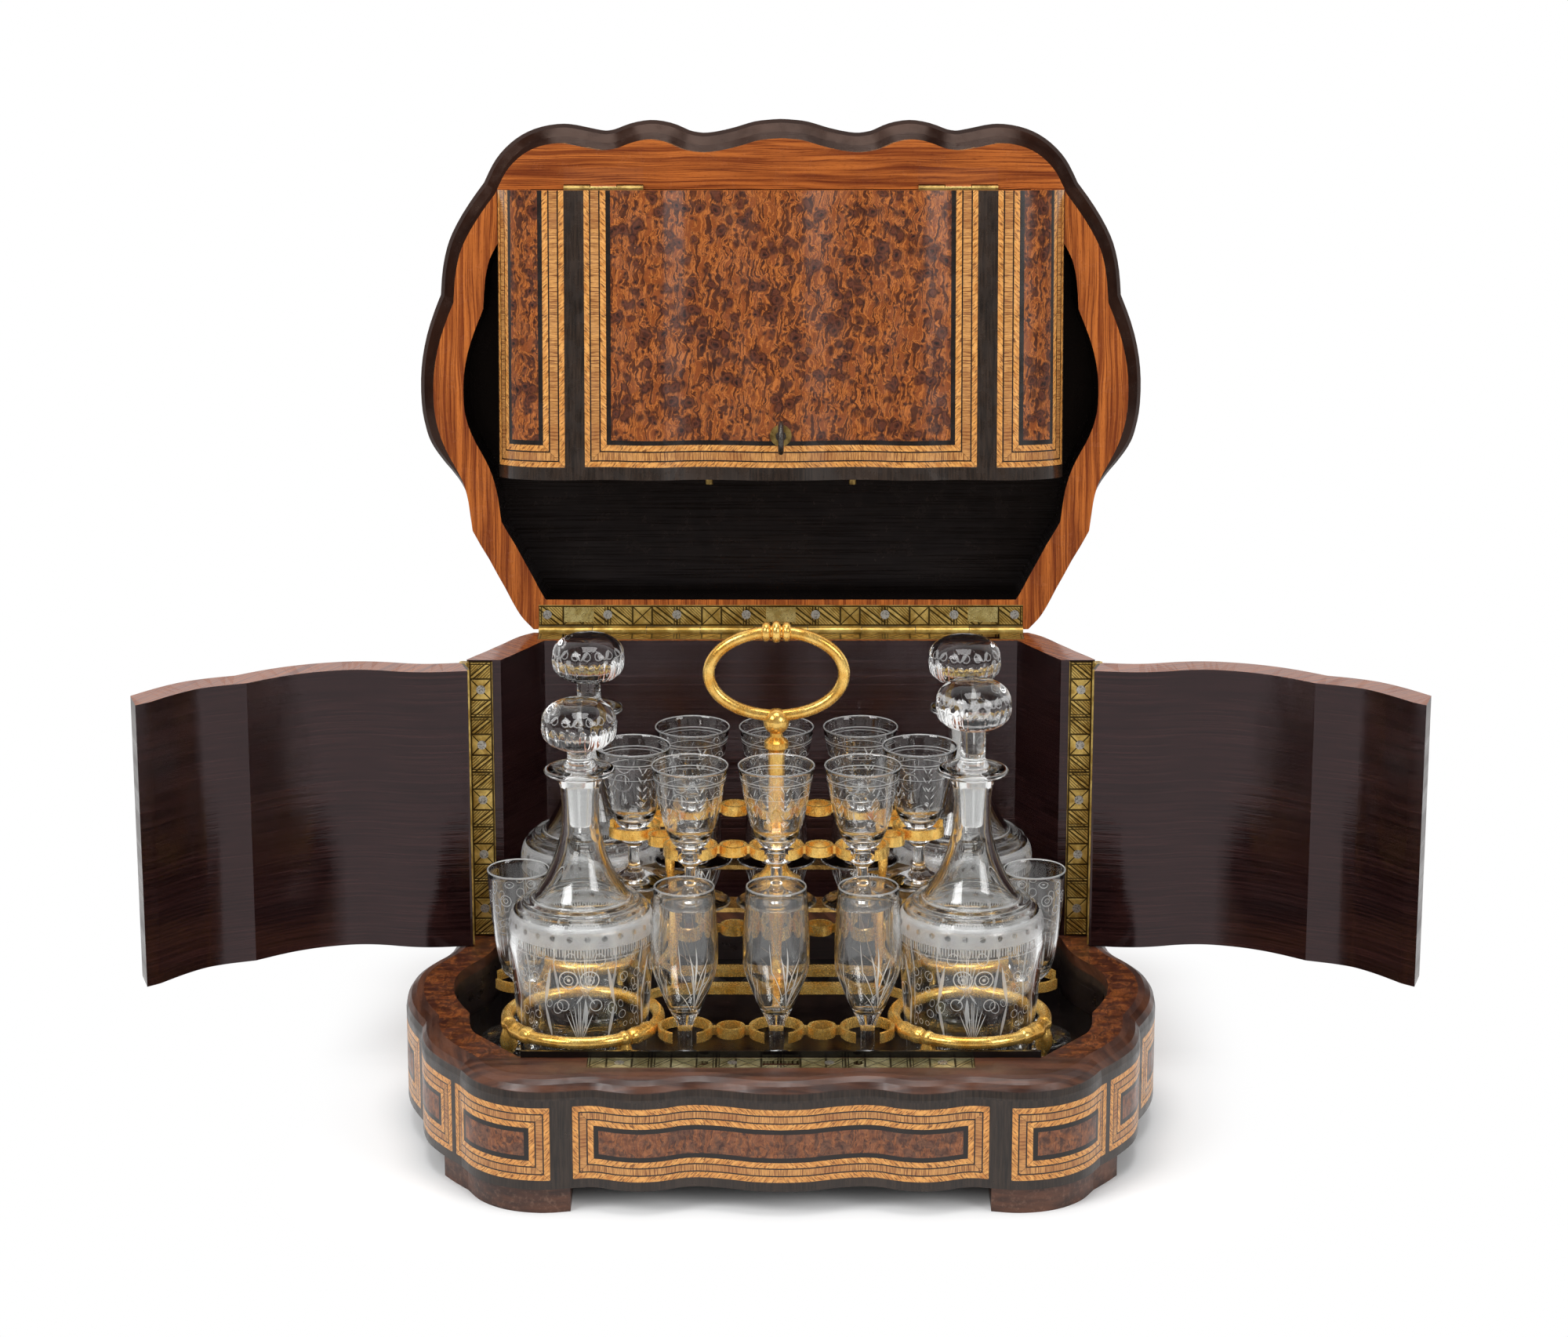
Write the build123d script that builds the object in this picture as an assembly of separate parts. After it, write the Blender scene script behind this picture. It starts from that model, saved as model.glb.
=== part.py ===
from build123d import *
import math
import os

os.makedirs("parts", exist_ok=True)

# Plan of the case: x to the right, y to the back, z up, all in mm.
# The plan is drawn from the back face of the walls (depth 0) to the middle of the front (depth 1).
half_width = 162.6          # outer face of the walls at the widest point
wall_depth = 229.5          # back face of the walls to the crest of the front
back_face = 73.0            # back face of the walls, behind the origin
wall = 14.0                 # walls, doors and rims
flap_plane = 206.0          # back face of the closed flap, from the back face
well_front = 204.0          # front wall of the well, from the back face
door_end = 203.6            # free end of a closed door, from the back face
pillar_plane = 48.5         # joint of door and pillar, from the back face
bead_gap = 0.2
move_gap = 0.6              # between pieces that pass each other
seat_gap = 0.3              # between a loose piece and its seat
overrun = 2.0               # how far cutting tools pass a surface

# Heights above the surface that the cabinet stands on
foot_height = 12.0
rim_height = 61.7
case_top = 196.0
rim_thickness = 9.0
rim_round = 8.0
rim_steps = 4
plinth_overhang = 7.5
plinth_back_overhang = 3.0
floor_bottom = 20.0
floor_top = 32.0
tray_thickness = 6.5
tray_clearance = 1.5

# Lid
lid_open_deg = 98.9
lid_swing_deg = 73.9
lid_hollow = 43.0
lid_height = 52.0
lid_wall_height = 37.0
lid_overhang = 9.0
moulding_lip = 5.0
lid_taper = 42.0            # length over which the lid's moulding dies out at the pillars
lid_top_inset = 3.0
lid_top_rise = 3.0

# Doors
door_open_deg = 74.0

# Hinges
hinge_gap = 0.25
leaf_thickness = 1.25
lid_knuckle = 2.4
door_knuckle = 2.1
flap_knuckle = 1.9
hinge_pin = 1.0
pin_clearance = 0.05
knuckle_relief = 0.35
knuckle_gap = 0.3
lid_leaf_width = 12.5
lid_leaf_half = 114.0
lid_axis_out = 1.0          # lid hinge axis behind the back face
lid_knuckles = 9
door_leaf_width = 13.0
door_axis_out = 0.9         # door hinge axis outside the wall
door_knuckles = 5
flap_leaf_width = 10.0
flap_leaf_length = 37.0
flap_leaf_x = 82.5
flap_knuckles = 3
screw_radius = 2.1
screw_rise = 0.35
screw_slot = 0.5
lug_length = 14.0
lug_depth = 7.0
lug_rise = 1.5
lug_x = 95.0
lid_screw_shares = (-0.965, -0.715, -0.43, -0.143, 0.143, 0.43, 0.715, 0.965)

# Lock, key, strike strip and locating pins
strike_width = 12.0
strike_half = 84.0
strike_thickness = 1.2
slot_half = 8.0
slot_half_width = 2.4
slot_depth = 8.0
bolt_half = 6.0
bolt_half_width = 1.6
bolt_throw = 4.5
bolt_height = 16.0
lock_half = 16.0
lock_height = 34.0
lock_depth = 9.0
lock_wall = 1.6
lock_inset = 3.0
keyhole_height = 21.0
key_shaft = 1.6
key_bow = 6.5
key_bow_wire = 1.3
key_out = 10.0
key_turn_gap = 0.08
pin_x = 33.5
pin_radius = 1.8
pin_out = 3.0
pin_hole_gap = 0.5
escutcheon_radius = 5.0
escutcheon_thickness = 0.8
bead_thickness = 1.6
bead_height = 3.0
bead_half = 113.0

# Feet
foot_inset = 3.0
foot_width = 42.0
foot_length = 40.0

# Stand
stand_x = -2.0
stand_depth = 120.0         # centre of the stand from the back face
ring_x = 85.5
ring_y = 47.5
ring_radius = 33.5
ring_wire = 2.75
lower_height = 28.0         # plane of the lower frame above the tray
shelf_height = 75.0         # top of the shelf above the tray
chain_height = 100.0        # middle of the upper chain above the tray
band_height = 4.5
band_thickness = 1.5
clip_radius = 12.0          # open rings round the glass necks
clip_opening = 10.5
bead_ring_radius = 6.2      # closed small rings between them
link_width = 2.6
link_reach = 1.0
upper_x = 38.0
upper_y = 29.5
side_x = 64.0
corner_x = 51.0
corner_y = 15.0
lower_row_x = 40.0
front_row_y = -64.5
back_row_y = 70.0
lower_side_x = 116.0
shelf_width = 15.0
shelf_thickness = 2.0
bar_width = 4.0
column_x = 47.5
column_y = 11.5
column_radius = 2.4
column_waist = 1.5
handle_height = 172.0
handle_half_width = 30.0
handle_half_height = 19.3
handle_wire = 2.65
ball_drop = 2.7             # middle of the ball below the lowest point of the handle
ball_height = handle_height - handle_half_height - ball_drop
ball_radius = 5.9
post_radius = 3.6
post_flare = 11.0
leg_shares = [(-0.574, 0.819), (0.966, 0.259)]     # places of the legs on a ring, as shares of ring_radius
leg_ball = 4.0
leg_radius = 2.0

# Glassware
glass_wall = 1.1
goblet_height = 64.0
goblet_rim = 17.2
goblet_foot = 17.8
goblet_bowl = 37.0
goblet_stem = 2.6
goblet_collar = 5.6
goblet_neck = 4.0
goblet_lift = 16.0
flute_height = 95.0
flute_rim = 13.4
flute_foot = 16.5
flute_bowl = 63.0
flute_stem = 3.2
tall_height = 81.0
tall_rim = 14.3
tall_foot = 17.8
tall_bowl = 52.0
tall_stem = 2.8
foot_edge = 1.2
stem_foot_rise = 7.0
carafe_height = 143.0
carafe_radius = 32.0
carafe_wall = 2.4
carafe_bore = 6.3
carafe_lip_thickness = 2.2
carafe_lift = 60.0
peg_radius = 5.6
peg_tip = 4.6
peg_length = 26.0
knob_radius = 16.7
knob_height = 22.0
knob_base = 9.0
stopper_neck = 5.4
stopper_collar = 7.0
stopper_rises = {"front_left": 0.0, "front_right": 9.0, "back_left": 3.0, "back_right": 2.0}

# Outline of the right half of the walls: x as a share of half_width, depth as a share of wall_depth
front_shares = [(0.0000, 1.0000), (0.0615, 0.9961), (0.1169, 0.9847), (0.1722, 0.9756),
                (0.2276, 0.9717), (0.2829, 0.9786), (0.3260, 0.9917), (0.3752, 0.9978),
                (0.4244, 0.9917), (0.4674, 0.9804), (0.5105, 0.9760), (0.5597, 0.9813),
                (0.6273, 0.9900), (0.6931, 0.9830), (0.7411, 0.9656), (0.7841, 0.9346),
                (0.8180, 0.8880)]
panel_shares = [(0.8180, 0.8880), (0.8536, 0.8540), (0.8893, 0.8148), (0.9176, 0.7734),
                (0.9336, 0.7233), (0.9397, 0.6688)]
bulge_shares = [(0.9397, 0.6688), (0.9631, 0.6275), (0.9828, 0.5839), (0.9963, 0.5338),
                (1.0000, 0.4858), (0.9951, 0.4357), (0.9791, 0.3922), (0.9545, 0.3529),
                (0.9336, 0.3268), (0.9164, 0.3007), (0.9041, 0.2702), (0.8967, 0.2353),
                (0.8905, 0.2026)]
return_shares = [(0.8905, 0.2026), (0.8672, 0.1725), (0.8426, 0.1438), (0.8180, 0.1111),
                 (0.7934, 0.0797), (0.7737, 0.0523), (0.7491, 0.0244), (0.7165, 0.0000)]
well_corner_shares = [(0.7040, 0.8889), (0.8300, 0.7650)]

# Places worked out from the sizes
tray_top = floor_top + tray_thickness
front_y = back_face - wall_depth
flap_y = back_face - flap_plane
well_y = back_face - well_front
pillar_y = back_face - pillar_plane
lid_axis = (0.0, back_face + lid_axis_out, case_top + move_gap / 2)
flap_axis = (0.0, flap_y, case_top + move_gap / 2)
stand_y = back_face - stand_depth
case_bottom = foot_height
wall_bottom = rim_height
curve_steps = 6
spline_steps = 3


# Plan curves

def place(share):
    return (share[0] * half_width, back_face - share[1] * wall_depth)


def smooth(points, steps=curve_steps):
    """Points on a centripetal Catmull-Rom curve through the given points."""
    first = (2 * points[0][0] - points[1][0], 2 * points[0][1] - points[1][1])
    last = (2 * points[-1][0] - points[-2][0], 2 * points[-1][1] - points[-2][1])
    ring = [first] + list(points) + [last]
    out = []
    for i in range(1, len(ring) - 2):
        a, b, c, d = ring[i - 1], ring[i], ring[i + 1], ring[i + 2]
        ta = 0.0
        tb = ta + math.sqrt(math.dist(a, b))
        tc = tb + math.sqrt(math.dist(b, c))
        td = tc + math.sqrt(math.dist(c, d))

        def mix(p, q, tp, tq, t):
            k = (t - tp) / (tq - tp)
            return (p[0] + (q[0] - p[0]) * k, p[1] + (q[1] - p[1]) * k)

        for j in range(steps):
            t = tb + (tc - tb) * j / steps
            ab, bc, cd = mix(a, b, ta, tb, t), mix(b, c, tb, tc, t), mix(c, d, tc, td, t)
            out.append(mix(mix(ab, bc, ta, tc, t), mix(bc, cd, tb, td, t), tb, tc, t))
    out.append(points[-1])
    return out


def mirrored(curve):
    return [(-x, y) for x, y in reversed(curve)]


right_front = smooth([place(s) for s in front_shares])
right_sides = [smooth([place(s) for s in shares])
               for shares in (panel_shares, bulge_shares, return_shares)]
right_back = [right_sides[2][-1], (0.0, back_face)]
right_curves = [right_front] + right_sides + [right_back]


def moved_out(curve, reach):
    """The curve moved to its outer side; reach gives the distance at a point."""
    out = []
    for i, (x, y) in enumerate(curve):
        before, after = curve[max(i - 1, 0)], curve[min(i + 1, len(curve) - 1)]
        dx, dy = after[0] - before[0], after[1] - before[1]
        size = math.hypot(dx, dy)
        r = reach(x, y)
        out.append((x + dy / size * r, y - dx / size * r))
    return out


def crossing(a, b, c, d):
    """Where line ab meets line cd, with the share along each, or None."""
    rx, ry, sx, sy = b[0] - a[0], b[1] - a[1], d[0] - c[0], d[1] - c[1]
    den = rx * sy - ry * sx
    if abs(den) < abs(rx * sx + ry * sy) / 1000 or den == 0:
        return None
    t = ((c[0] - a[0]) * sy - (c[1] - a[1]) * sx) / den
    u = ((c[0] - a[0]) * ry - (c[1] - a[1]) * rx) / den
    return (a[0] + rx * t, a[1] + ry * t), t, u


def met(one, two):
    """Two curves trimmed, or lengthened, to where they meet."""
    for i in range(len(one) - 2, (len(one) - 1) // 2 - 1, -1):
        for j in range((len(two) + 1) // 2):
            hit = crossing(one[i], one[i + 1], two[j], two[j + 1])
            if hit and 0 <= hit[1] <= 1 and 0 <= hit[2] <= 1:
                return one[:i + 1] + [hit[0]], [hit[0]] + two[j + 1:]
    hit = crossing(one[-2], one[-1], two[1], two[0])
    gap = math.dist(one[-1], two[0])
    if hit and math.dist(hit[0], one[-1]) < gap * 2:
        return one[:-1] + [hit[0]], [hit[0]] + two[1:]
    middle = ((one[-1][0] + two[0][0]) / 2, (one[-1][1] + two[0][1]) / 2)
    return one[:-1] + [middle], [middle] + two[1:]


def thinned(curve):
    """Every few points of a curve, with both ends."""
    count = max(1, round((len(curve) - 1) / spline_steps))
    return [curve[round(i * (len(curve) - 1) / count)] for i in range(count + 1)]


def outline(reach):
    """The closed plan outline moved out by reach, as a list of curves."""
    curves = [moved_out(c, reach) for c in right_curves]
    curves[0][0] = (0.0, curves[0][0][1])
    curves[-1][-1] = (0.0, curves[-1][-1][1])
    for i in range(len(curves) - 1):
        curves[i], curves[i + 1] = met(curves[i], curves[i + 1])
    curves = [thinned(c) for c in curves]
    front, panel, bulge, side, back = curves
    front = mirrored(front)[:-1] + front
    back = [back[0], (-back[0][0], back[0][1])]
    return [front, panel, bulge, side, back, mirrored(side), mirrored(bulge), mirrored(panel)]


def wire(curves, z):
    edges = []
    for curve in curves:
        points = [(x, y, z) for x, y in curve]
        edges.append(Line(*points) if len(points) == 2 else Spline(*points))
    return Wire(edges)


def plate(curves, bottom, top):
    return extrude(Face(wire(curves, bottom)), amount=top - bottom, dir=(0, 0, 1))


def even(distance):
    return lambda x, y: distance


def plinth_reach(distance):
    return lambda x, y: (plinth_back_overhang if y > back_face - wall / 2 else distance)


def lid_reach(distance):
    def reach(x, y):
        share = (pillar_y - y) / lid_taper + 0.05
        return distance * min(1, max(0, share))
    return reach


reach_x = half_width + plinth_overhang + overrun
front_reach = front_y - plinth_overhang - overrun
back_reach = back_face + plinth_overhang + overrun


def block(x0, x1, y0, y1, z0, z1):
    return Pos((x0 + x1) / 2, (y0 + y1) / 2, (z0 + z1) / 2) * Box(x1 - x0, y1 - y0, z1 - z0)


def rod(radius, length, x, y, z):
    """Upright round bar standing on z."""
    return Pos(x, y, z + length / 2) * Cylinder(radius, length)


def turned(*runs):
    """Solid of revolution about z from runs of (radius, height) points."""
    edges = []
    for run in runs:
        points = [(r, 0, z) for r, z in run]
        edges.append(Line(*points) if len(points) == 2 else Spline(*points))
    start, end = runs[0][0], runs[-1][-1]
    if start[0] > 0:
        edges.insert(0, Line((0, 0, start[1]), (start[0], 0, start[1])))
    if end[0] > 0:
        edges.append(Line((end[0], 0, end[1]), (0, 0, end[1])))
    edges.append(Line((0, 0, end[1]), (0, 0, start[1])))
    return revolve(Face(Wire(edges)), axis=Axis.Z)


def lines(points):
    """The straight runs that join the points."""
    return [[a, b] for a, b in zip(points, points[1:])]


def joined(parts):
    return parts[0] + parts[1:]


def whole(shape):
    solids = shape.solids()
    return solids[0] if len(solids) == 1 else Compound(solids)


pieces = {}


def keep(name, shape, where=None):
    pieces[name] = (where * whole(shape)) if where is not None else whole(shape)


def turn_about(point, axis, degrees):
    return Pos(*point) * Rotation(*[a * degrees for a in axis]) * Pos(*[-p for p in point])


# Hinges: the axis is z from 0 to length, plates reach to -x, one on each side of the plane y = 0

def hinge_leaf(length, count, mine, width, knuckle, side):
    step = length / count
    bore = hinge_pin + pin_clearance
    body = block(-width, 0, *sorted((side * hinge_gap, side * (hinge_gap + leaf_thickness))), 0, length)
    barrels = []
    for i in range(count):
        z0, z1 = i * step, (i + 1) * step
        own = i % 2 == mine
        if own:
            low = z0 + (knuckle_gap / 2 if i else 0)
            high = z1 - (knuckle_gap / 2 if i < count - 1 else 0)
            barrels.append(rod(knuckle, high - low, 0, 0, low))
        else:
            low = z0 - (knuckle_gap / 2 if i else overrun)
            high = z1 + (knuckle_gap / 2 if i < count - 1 else overrun)
            body -= rod(knuckle + knuckle_relief, high - low, 0, 0, low)
    for barrel in barrels:
        body += barrel
    return body - rod(bore, length + 2 * overrun, 0, 0, -overrun)


def screw_head(x, y, z, direction):
    """Countersunk head, its slotted face turned to direction."""
    head = Cylinder(screw_radius, leaf_thickness, align=(Align.CENTER, Align.CENTER, Align.MAX))
    head += Cylinder(screw_radius, screw_rise, align=(Align.CENTER, Align.CENTER, Align.MIN))
    slot = Pos(0, 0, screw_rise) * Box(2 * screw_radius + overrun, screw_slot, screw_slot)
    return Plane(origin=(x, y, z), z_dir=direction) * (head - slot)


wall_outline = outline(even(0.0))
inner_outline = outline(even(-wall))
inner_block = plate(inner_outline, 0.0, case_top + lid_height)
corner_points = [place(s) for s in well_corner_shares]


def well_shape(inset, bottom, top):
    """Plan of the well: the inside of the walls with the front corners cut across."""
    a, b = corner_points
    slope = math.hypot(b[0] - a[0], b[1] - a[1])
    nx, ny = (b[1] - a[1]) / slope * inset, (a[0] - b[0]) / slope * inset
    run = (b[1] - well_y) / (b[1] - a[1])
    front = (b[0] - (b[0] - a[0]) * run - nx, well_y + inset)
    side = (b[0] - nx + (b[0] - a[0]), b[1] - ny + (b[1] - a[1]))
    half = [front, side, (reach_x, side[1]), (reach_x, back_reach)]
    points = half + [(-x, y) for x, y in reversed(half)]
    body = extrude(Face(Wire.make_polygon([(x, y, bottom) for x, y in points])), amount=top - bottom,
                   dir=(0, 0, 1))
    return body & plate(outline(even(-wall - inset)), bottom, top)


# Plinth

plinth_outline = outline(plinth_reach(plinth_overhang))
well = well_shape(0.0, -overrun, case_top)
carcass_top = rim_height - rim_thickness
carcass = plate(plinth_outline, case_bottom, carcass_top) - well
keep("plinth_carcass", carcass)
keep("well_floor", well_shape(0.0, floor_bottom, floor_top))

rim_sections = [(plinth_overhang, carcass_top)]
for k in range(rim_steps + 1):
    a = math.radians(90 * k / rim_steps)
    rim_sections.append((plinth_overhang - rim_round * (1 - math.cos(a)),
                         rim_height - rim_round + rim_round * math.sin(a)))
rim = Solid.make_loft([wire(outline(plinth_reach(r)), z) for r, z in rim_sections], ruled=True)
rim -= well
strike_y = flap_y - strike_width
rim -= block(-strike_half, strike_half, strike_y, flap_y, rim_height - strike_thickness,
             rim_height + overrun)
lock_y = flap_y - strike_width / 2
rim -= block(-slot_half, slot_half, lock_y - slot_half_width, lock_y + slot_half_width,
             rim_height - slot_depth, rim_height)
strike = block(-strike_half, strike_half, strike_y, flap_y, rim_height - strike_thickness, rim_height)
strike -= block(-slot_half, slot_half, lock_y - slot_half_width, lock_y + slot_half_width,
                rim_height - strike_thickness - overrun, rim_height + overrun)
for x in (-pin_x, pin_x):
    hole = rod(pin_radius + pin_hole_gap, slot_depth + overrun, x, lock_y, rim_height - slot_depth)
    rim -= hole
    strike -= hole
keep("front_bead", block(-bead_half, bead_half, well_y - bead_gap - bead_thickness, well_y - bead_gap,
                         rim_height, rim_height + bead_height))

# Feet: slices of the plinth's plan under the four corners

foot_plan = plate(outline(plinth_reach(plinth_overhang - foot_inset)), 0.0, foot_height) - well
foot_x = place(panel_shares[0])[0]
feet = []
for sx in (-1, 1):
    for y0, y1 in ((front_reach, front_y + foot_length), (back_face - foot_length, back_reach)):
        feet.append(foot_plan & block(*sorted((sx * (foot_x - foot_width), sx * reach_x)), y0, y1,
                                      -overrun, foot_height + overrun))
keep("plinth_feet", joined(feet))

# Back wall, returns and door hinges' pillars

ring = plate(wall_outline, wall_bottom, case_top) - inner_block
back_inner_x = min(abs(x) for x, y in inner_outline[4])
recess_floor = lid_axis[2] - hinge_gap - leaf_thickness
lid_leaf_front = back_face + lid_axis_out - lid_leaf_width
leaf_recess = block(-lid_leaf_half, lid_leaf_half, lid_leaf_front, back_face + overrun,
                    recess_floor, case_top + overrun)
lid_relief = Pos(0, lid_axis[1], lid_axis[2]) * Rotation(0, 90, 0) * Cylinder(
    lid_knuckle + knuckle_relief, 2 * lid_leaf_half)
lug_pockets = [block(x - lug_length / 2 - move_gap, x + lug_length / 2 + move_gap,
                     lid_leaf_front + move_gap, lid_leaf_front + 2 * move_gap + lug_depth,
                     recess_floor - lug_rise, case_top + overrun) for x in (-lug_x, 0.0, lug_x)]
middle = block(-back_inner_x, back_inner_x, back_face - wall - overrun, back_reach,
               wall_bottom - overrun, case_top + overrun)
keep("back_wall", (ring & middle) - [leaf_recess, lid_relief] - lug_pockets)

pillar_face = pillar_y + hinge_gap + leaf_thickness
door_x = door_axis_out + max(
    a[0] + (b[0] - a[0]) * (pillar_y - a[1]) / (b[1] - a[1])
    for curve in wall_outline[2:4] for a, b in zip(curve, curve[1:]) if a[1] <= pillar_y <= b[1])
door_height = case_top - rim_height - 2 * move_gap
door_base = rim_height + move_gap
returns = {}
for side, sx in (("left", -1), ("right", 1)):
    area = block(*sorted((sx * back_inner_x, sx * reach_x)), pillar_face, back_reach,
                 wall_bottom - overrun, case_top + overrun)
    post = (ring & area) - [leaf_recess, lid_relief] - lug_pockets
    post -= rod(door_knuckle + knuckle_relief, case_top + overrun, sx * door_x, pillar_y, 0.0)
    keep("return_" + side, post)

# Lid hinge

def lid_hinge_place(shape):
    return Plane(origin=(-lid_leaf_half, lid_axis[1], lid_axis[2]), x_dir=(0, 1, 0),
                 z_dir=(1, 0, 0)) * shape


wall_leaf = hinge_leaf(2 * lid_leaf_half, lid_knuckles, 0, lid_leaf_width, lid_knuckle, -1)
lid_leaf = hinge_leaf(2 * lid_leaf_half, lid_knuckles, 1, lid_leaf_width, lid_knuckle, 1)
keep("wall_hinge_leaf", lid_hinge_place(wall_leaf) - lug_pockets)
lid_pose = turn_about(lid_axis, (1, 0, 0), -lid_open_deg)
keep("lid_hinge_pin", lid_hinge_place(rod(hinge_pin, 2 * lid_leaf_half, 0, 0, 0)), lid_pose)

leaf_face = lid_axis[2] + hinge_gap
lugs = [block(x - lug_length / 2, x + lug_length / 2, lid_leaf_front + 1.5 * move_gap,
              lid_leaf_front + 1.5 * move_gap + lug_depth, leaf_face - lug_rise, leaf_face)
        for x in (-lug_x, 0.0, lug_x)]
keep("stop_lugs", joined(lugs), lid_pose)
screw_y = (lid_leaf_front + back_face - lid_knuckle) / 2
lid_screws = [screw_head(s * lid_leaf_half, screw_y, leaf_face, (0, 0, -1)) for s in lid_screw_shares]
keep("lid_hinge_leaf", lid_hinge_place(lid_leaf) - lid_screws, lid_pose)
keep("lid_screws", joined(lid_screws), lid_pose)

# Lid, drawn closed and turned to its open place

lid_base = case_top + move_gap
edge = lid_wall_height
lid_sections = [(0.0, 0.0), (0.0, edge - moulding_lip), (lid_overhang * 0.35, edge - moulding_lip * 0.45),
                (lid_overhang * 0.8, edge), (lid_overhang, edge + moulding_lip * 0.45),
                (lid_overhang, lid_height - rim_round * 0.8),
                (lid_overhang - rim_round * 0.3, lid_height - rim_round * 0.2),
                (lid_overhang - rim_round, lid_height)]
lid_body = Solid.make_loft([wire(outline(lid_reach(r)), lid_base + z) for r, z in lid_sections], ruled=True)
lid_inner = plate(inner_outline, 0.0, lid_base + lid_hollow) & block(
    -reach_x, reach_x, flap_y, back_reach, -overrun, lid_base + lid_hollow)
panel_bottom = lid_base + lid_height
lid_recess = block(-lid_leaf_half, lid_leaf_half, lid_leaf_front, back_reach,
                   lid_base - overrun, lid_axis[2] + hinge_gap + leaf_thickness)
lid_body -= [lid_inner, lid_recess, lid_relief]

# Flap, drawn closed, folded against the lid and turned with it

flap_bottom = rim_height + move_gap
flap = plate(wall_outline, flap_bottom, case_top) & block(
    -reach_x, reach_x, front_reach, flap_y, flap_bottom - overrun, case_top + overrun)
flap_pose = lid_pose * turn_about(flap_axis, (1, 0, 0), 90.0)
flap_leaf_floor = flap_axis[2] - hinge_gap - leaf_thickness
rim_leaf_top = flap_axis[2] + hinge_gap + leaf_thickness


def flap_hinge_place(shape, x):
    return Plane(origin=(x - flap_leaf_length / 2, flap_axis[1], flap_axis[2]), x_dir=(0, 1, 0),
                 z_dir=(1, 0, 0)) * shape


flap_leaves = []
rim_leaves = []
for x in (-flap_leaf_x, flap_leaf_x):
    low = hinge_leaf(flap_leaf_length, flap_knuckles, 0, flap_leaf_width, flap_knuckle, -1)
    high = hinge_leaf(flap_leaf_length, flap_knuckles, 1, flap_leaf_width, flap_knuckle, 1)
    flap_leaves.append(flap_hinge_place(low, x))
    flap_leaves.append(flap_hinge_place(rod(hinge_pin, flap_leaf_length, 0, 0, 0), x))
    rim_leaves.append(flap_hinge_place(high, x))
    half = flap_leaf_length / 2
    relief = Pos(x, flap_axis[1], flap_axis[2]) * Rotation(0, 90, 0) * Cylinder(
        flap_knuckle + knuckle_relief, flap_leaf_length)
    flap -= [block(x - half, x + half, flap_y - flap_leaf_width, flap_y + overrun, flap_leaf_floor,
                   case_top + overrun), relief]
    lid_body -= [block(x - half, x + half, flap_y - flap_leaf_width, flap_y + overrun,
                       lid_base - overrun, rim_leaf_top), relief]
keep("lid_frame", lid_body, lid_pose)
top_reach = lid_reach(lid_overhang - rim_round)
top_panel = plate(outline(lambda x, y: top_reach(x, y) - lid_top_inset), panel_bottom,
                  panel_bottom + lid_top_rise)
keep("lid_top_panel", top_panel, lid_pose)
keep("flap_rim_leaves", Compound([whole(r) for r in rim_leaves]), lid_pose)
keep("flap_leaves", Compound([whole(r) for r in flap_leaves]), flap_pose)

# Lock, bolt, key and locating pins in the flap

lock_z = flap_bottom + keyhole_height
case_y0 = lock_y - lock_depth / 2
case_y1 = lock_y + lock_depth / 2
lock_case = block(-lock_half, lock_half, case_y0, case_y1, flap_bottom, flap_bottom + lock_height)
flap -= lock_case
bolt = block(-bolt_half, bolt_half, lock_y - bolt_half_width, lock_y + bolt_half_width,
             flap_bottom, flap_bottom + bolt_height)
bolt_way = block(-bolt_half - seat_gap, bolt_half + seat_gap, lock_y - bolt_half_width - seat_gap,
                 lock_y + bolt_half_width + seat_gap, flap_bottom - overrun,
                 flap_bottom + bolt_height + seat_gap)
lock_case -= bolt_way
key_way = Pos(0, front_y, lock_z) * Rotation(90, 0, 0) * Cylinder(
    key_shaft + key_turn_gap, wall_depth, align=(Align.CENTER, Align.CENTER, Align.CENTER))
face_y = front_y - escutcheon_thickness
plate_solid = Pos(0, front_y, lock_z) * Rotation(90, 0, 0) * Cylinder(
    escutcheon_radius, escutcheon_thickness, align=(Align.CENTER, Align.CENTER, Align.MIN))
pin_solids = []
for x in (-pin_x, pin_x):
    bar = rod(pin_radius, pin_out + lock_inset * 2, x, lock_y, flap_bottom - pin_out)
    flap -= rod(pin_radius, lock_inset * 2, x, lock_y, flap_bottom)
    pin_solids.append(bar)
key_bore = key_way & block(-lock_half, lock_half, front_y - wall, case_y1 - lock_wall, 0.0, case_top)
flap -= key_way & block(-lock_half, lock_half, front_y - wall, case_y0, 0.0, case_top)
lock_case -= key_bore
plate_solid -= key_bore
keep("flap_panel", flap, flap_pose)
keep("lock_fittings", lock_case + plate_solid + pin_solids, flap_pose)
keep("lock_bolt", bolt, flap_pose)
key_start = case_y1 - lock_wall - seat_gap
key_end = front_y - key_out
shaft = Pos(0, key_start, lock_z) * Rotation(90, 0, 0) * Cylinder(
    key_shaft, key_start - key_end, align=(Align.CENTER, Align.CENTER, Align.MIN))
bow = Pos(0, key_end - key_bow, lock_z) * Rotation(0, 90, 0) * Torus(key_bow, key_bow_wire)
collar = Pos(0, front_y - key_out / 2, lock_z) * Rotation(90, 0, 0) * Cylinder(
    key_shaft * 1.5, key_shaft)
keep("key", shaft + bow + collar, flap_pose)

# Doors, drawn closed and turned to their open places

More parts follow.
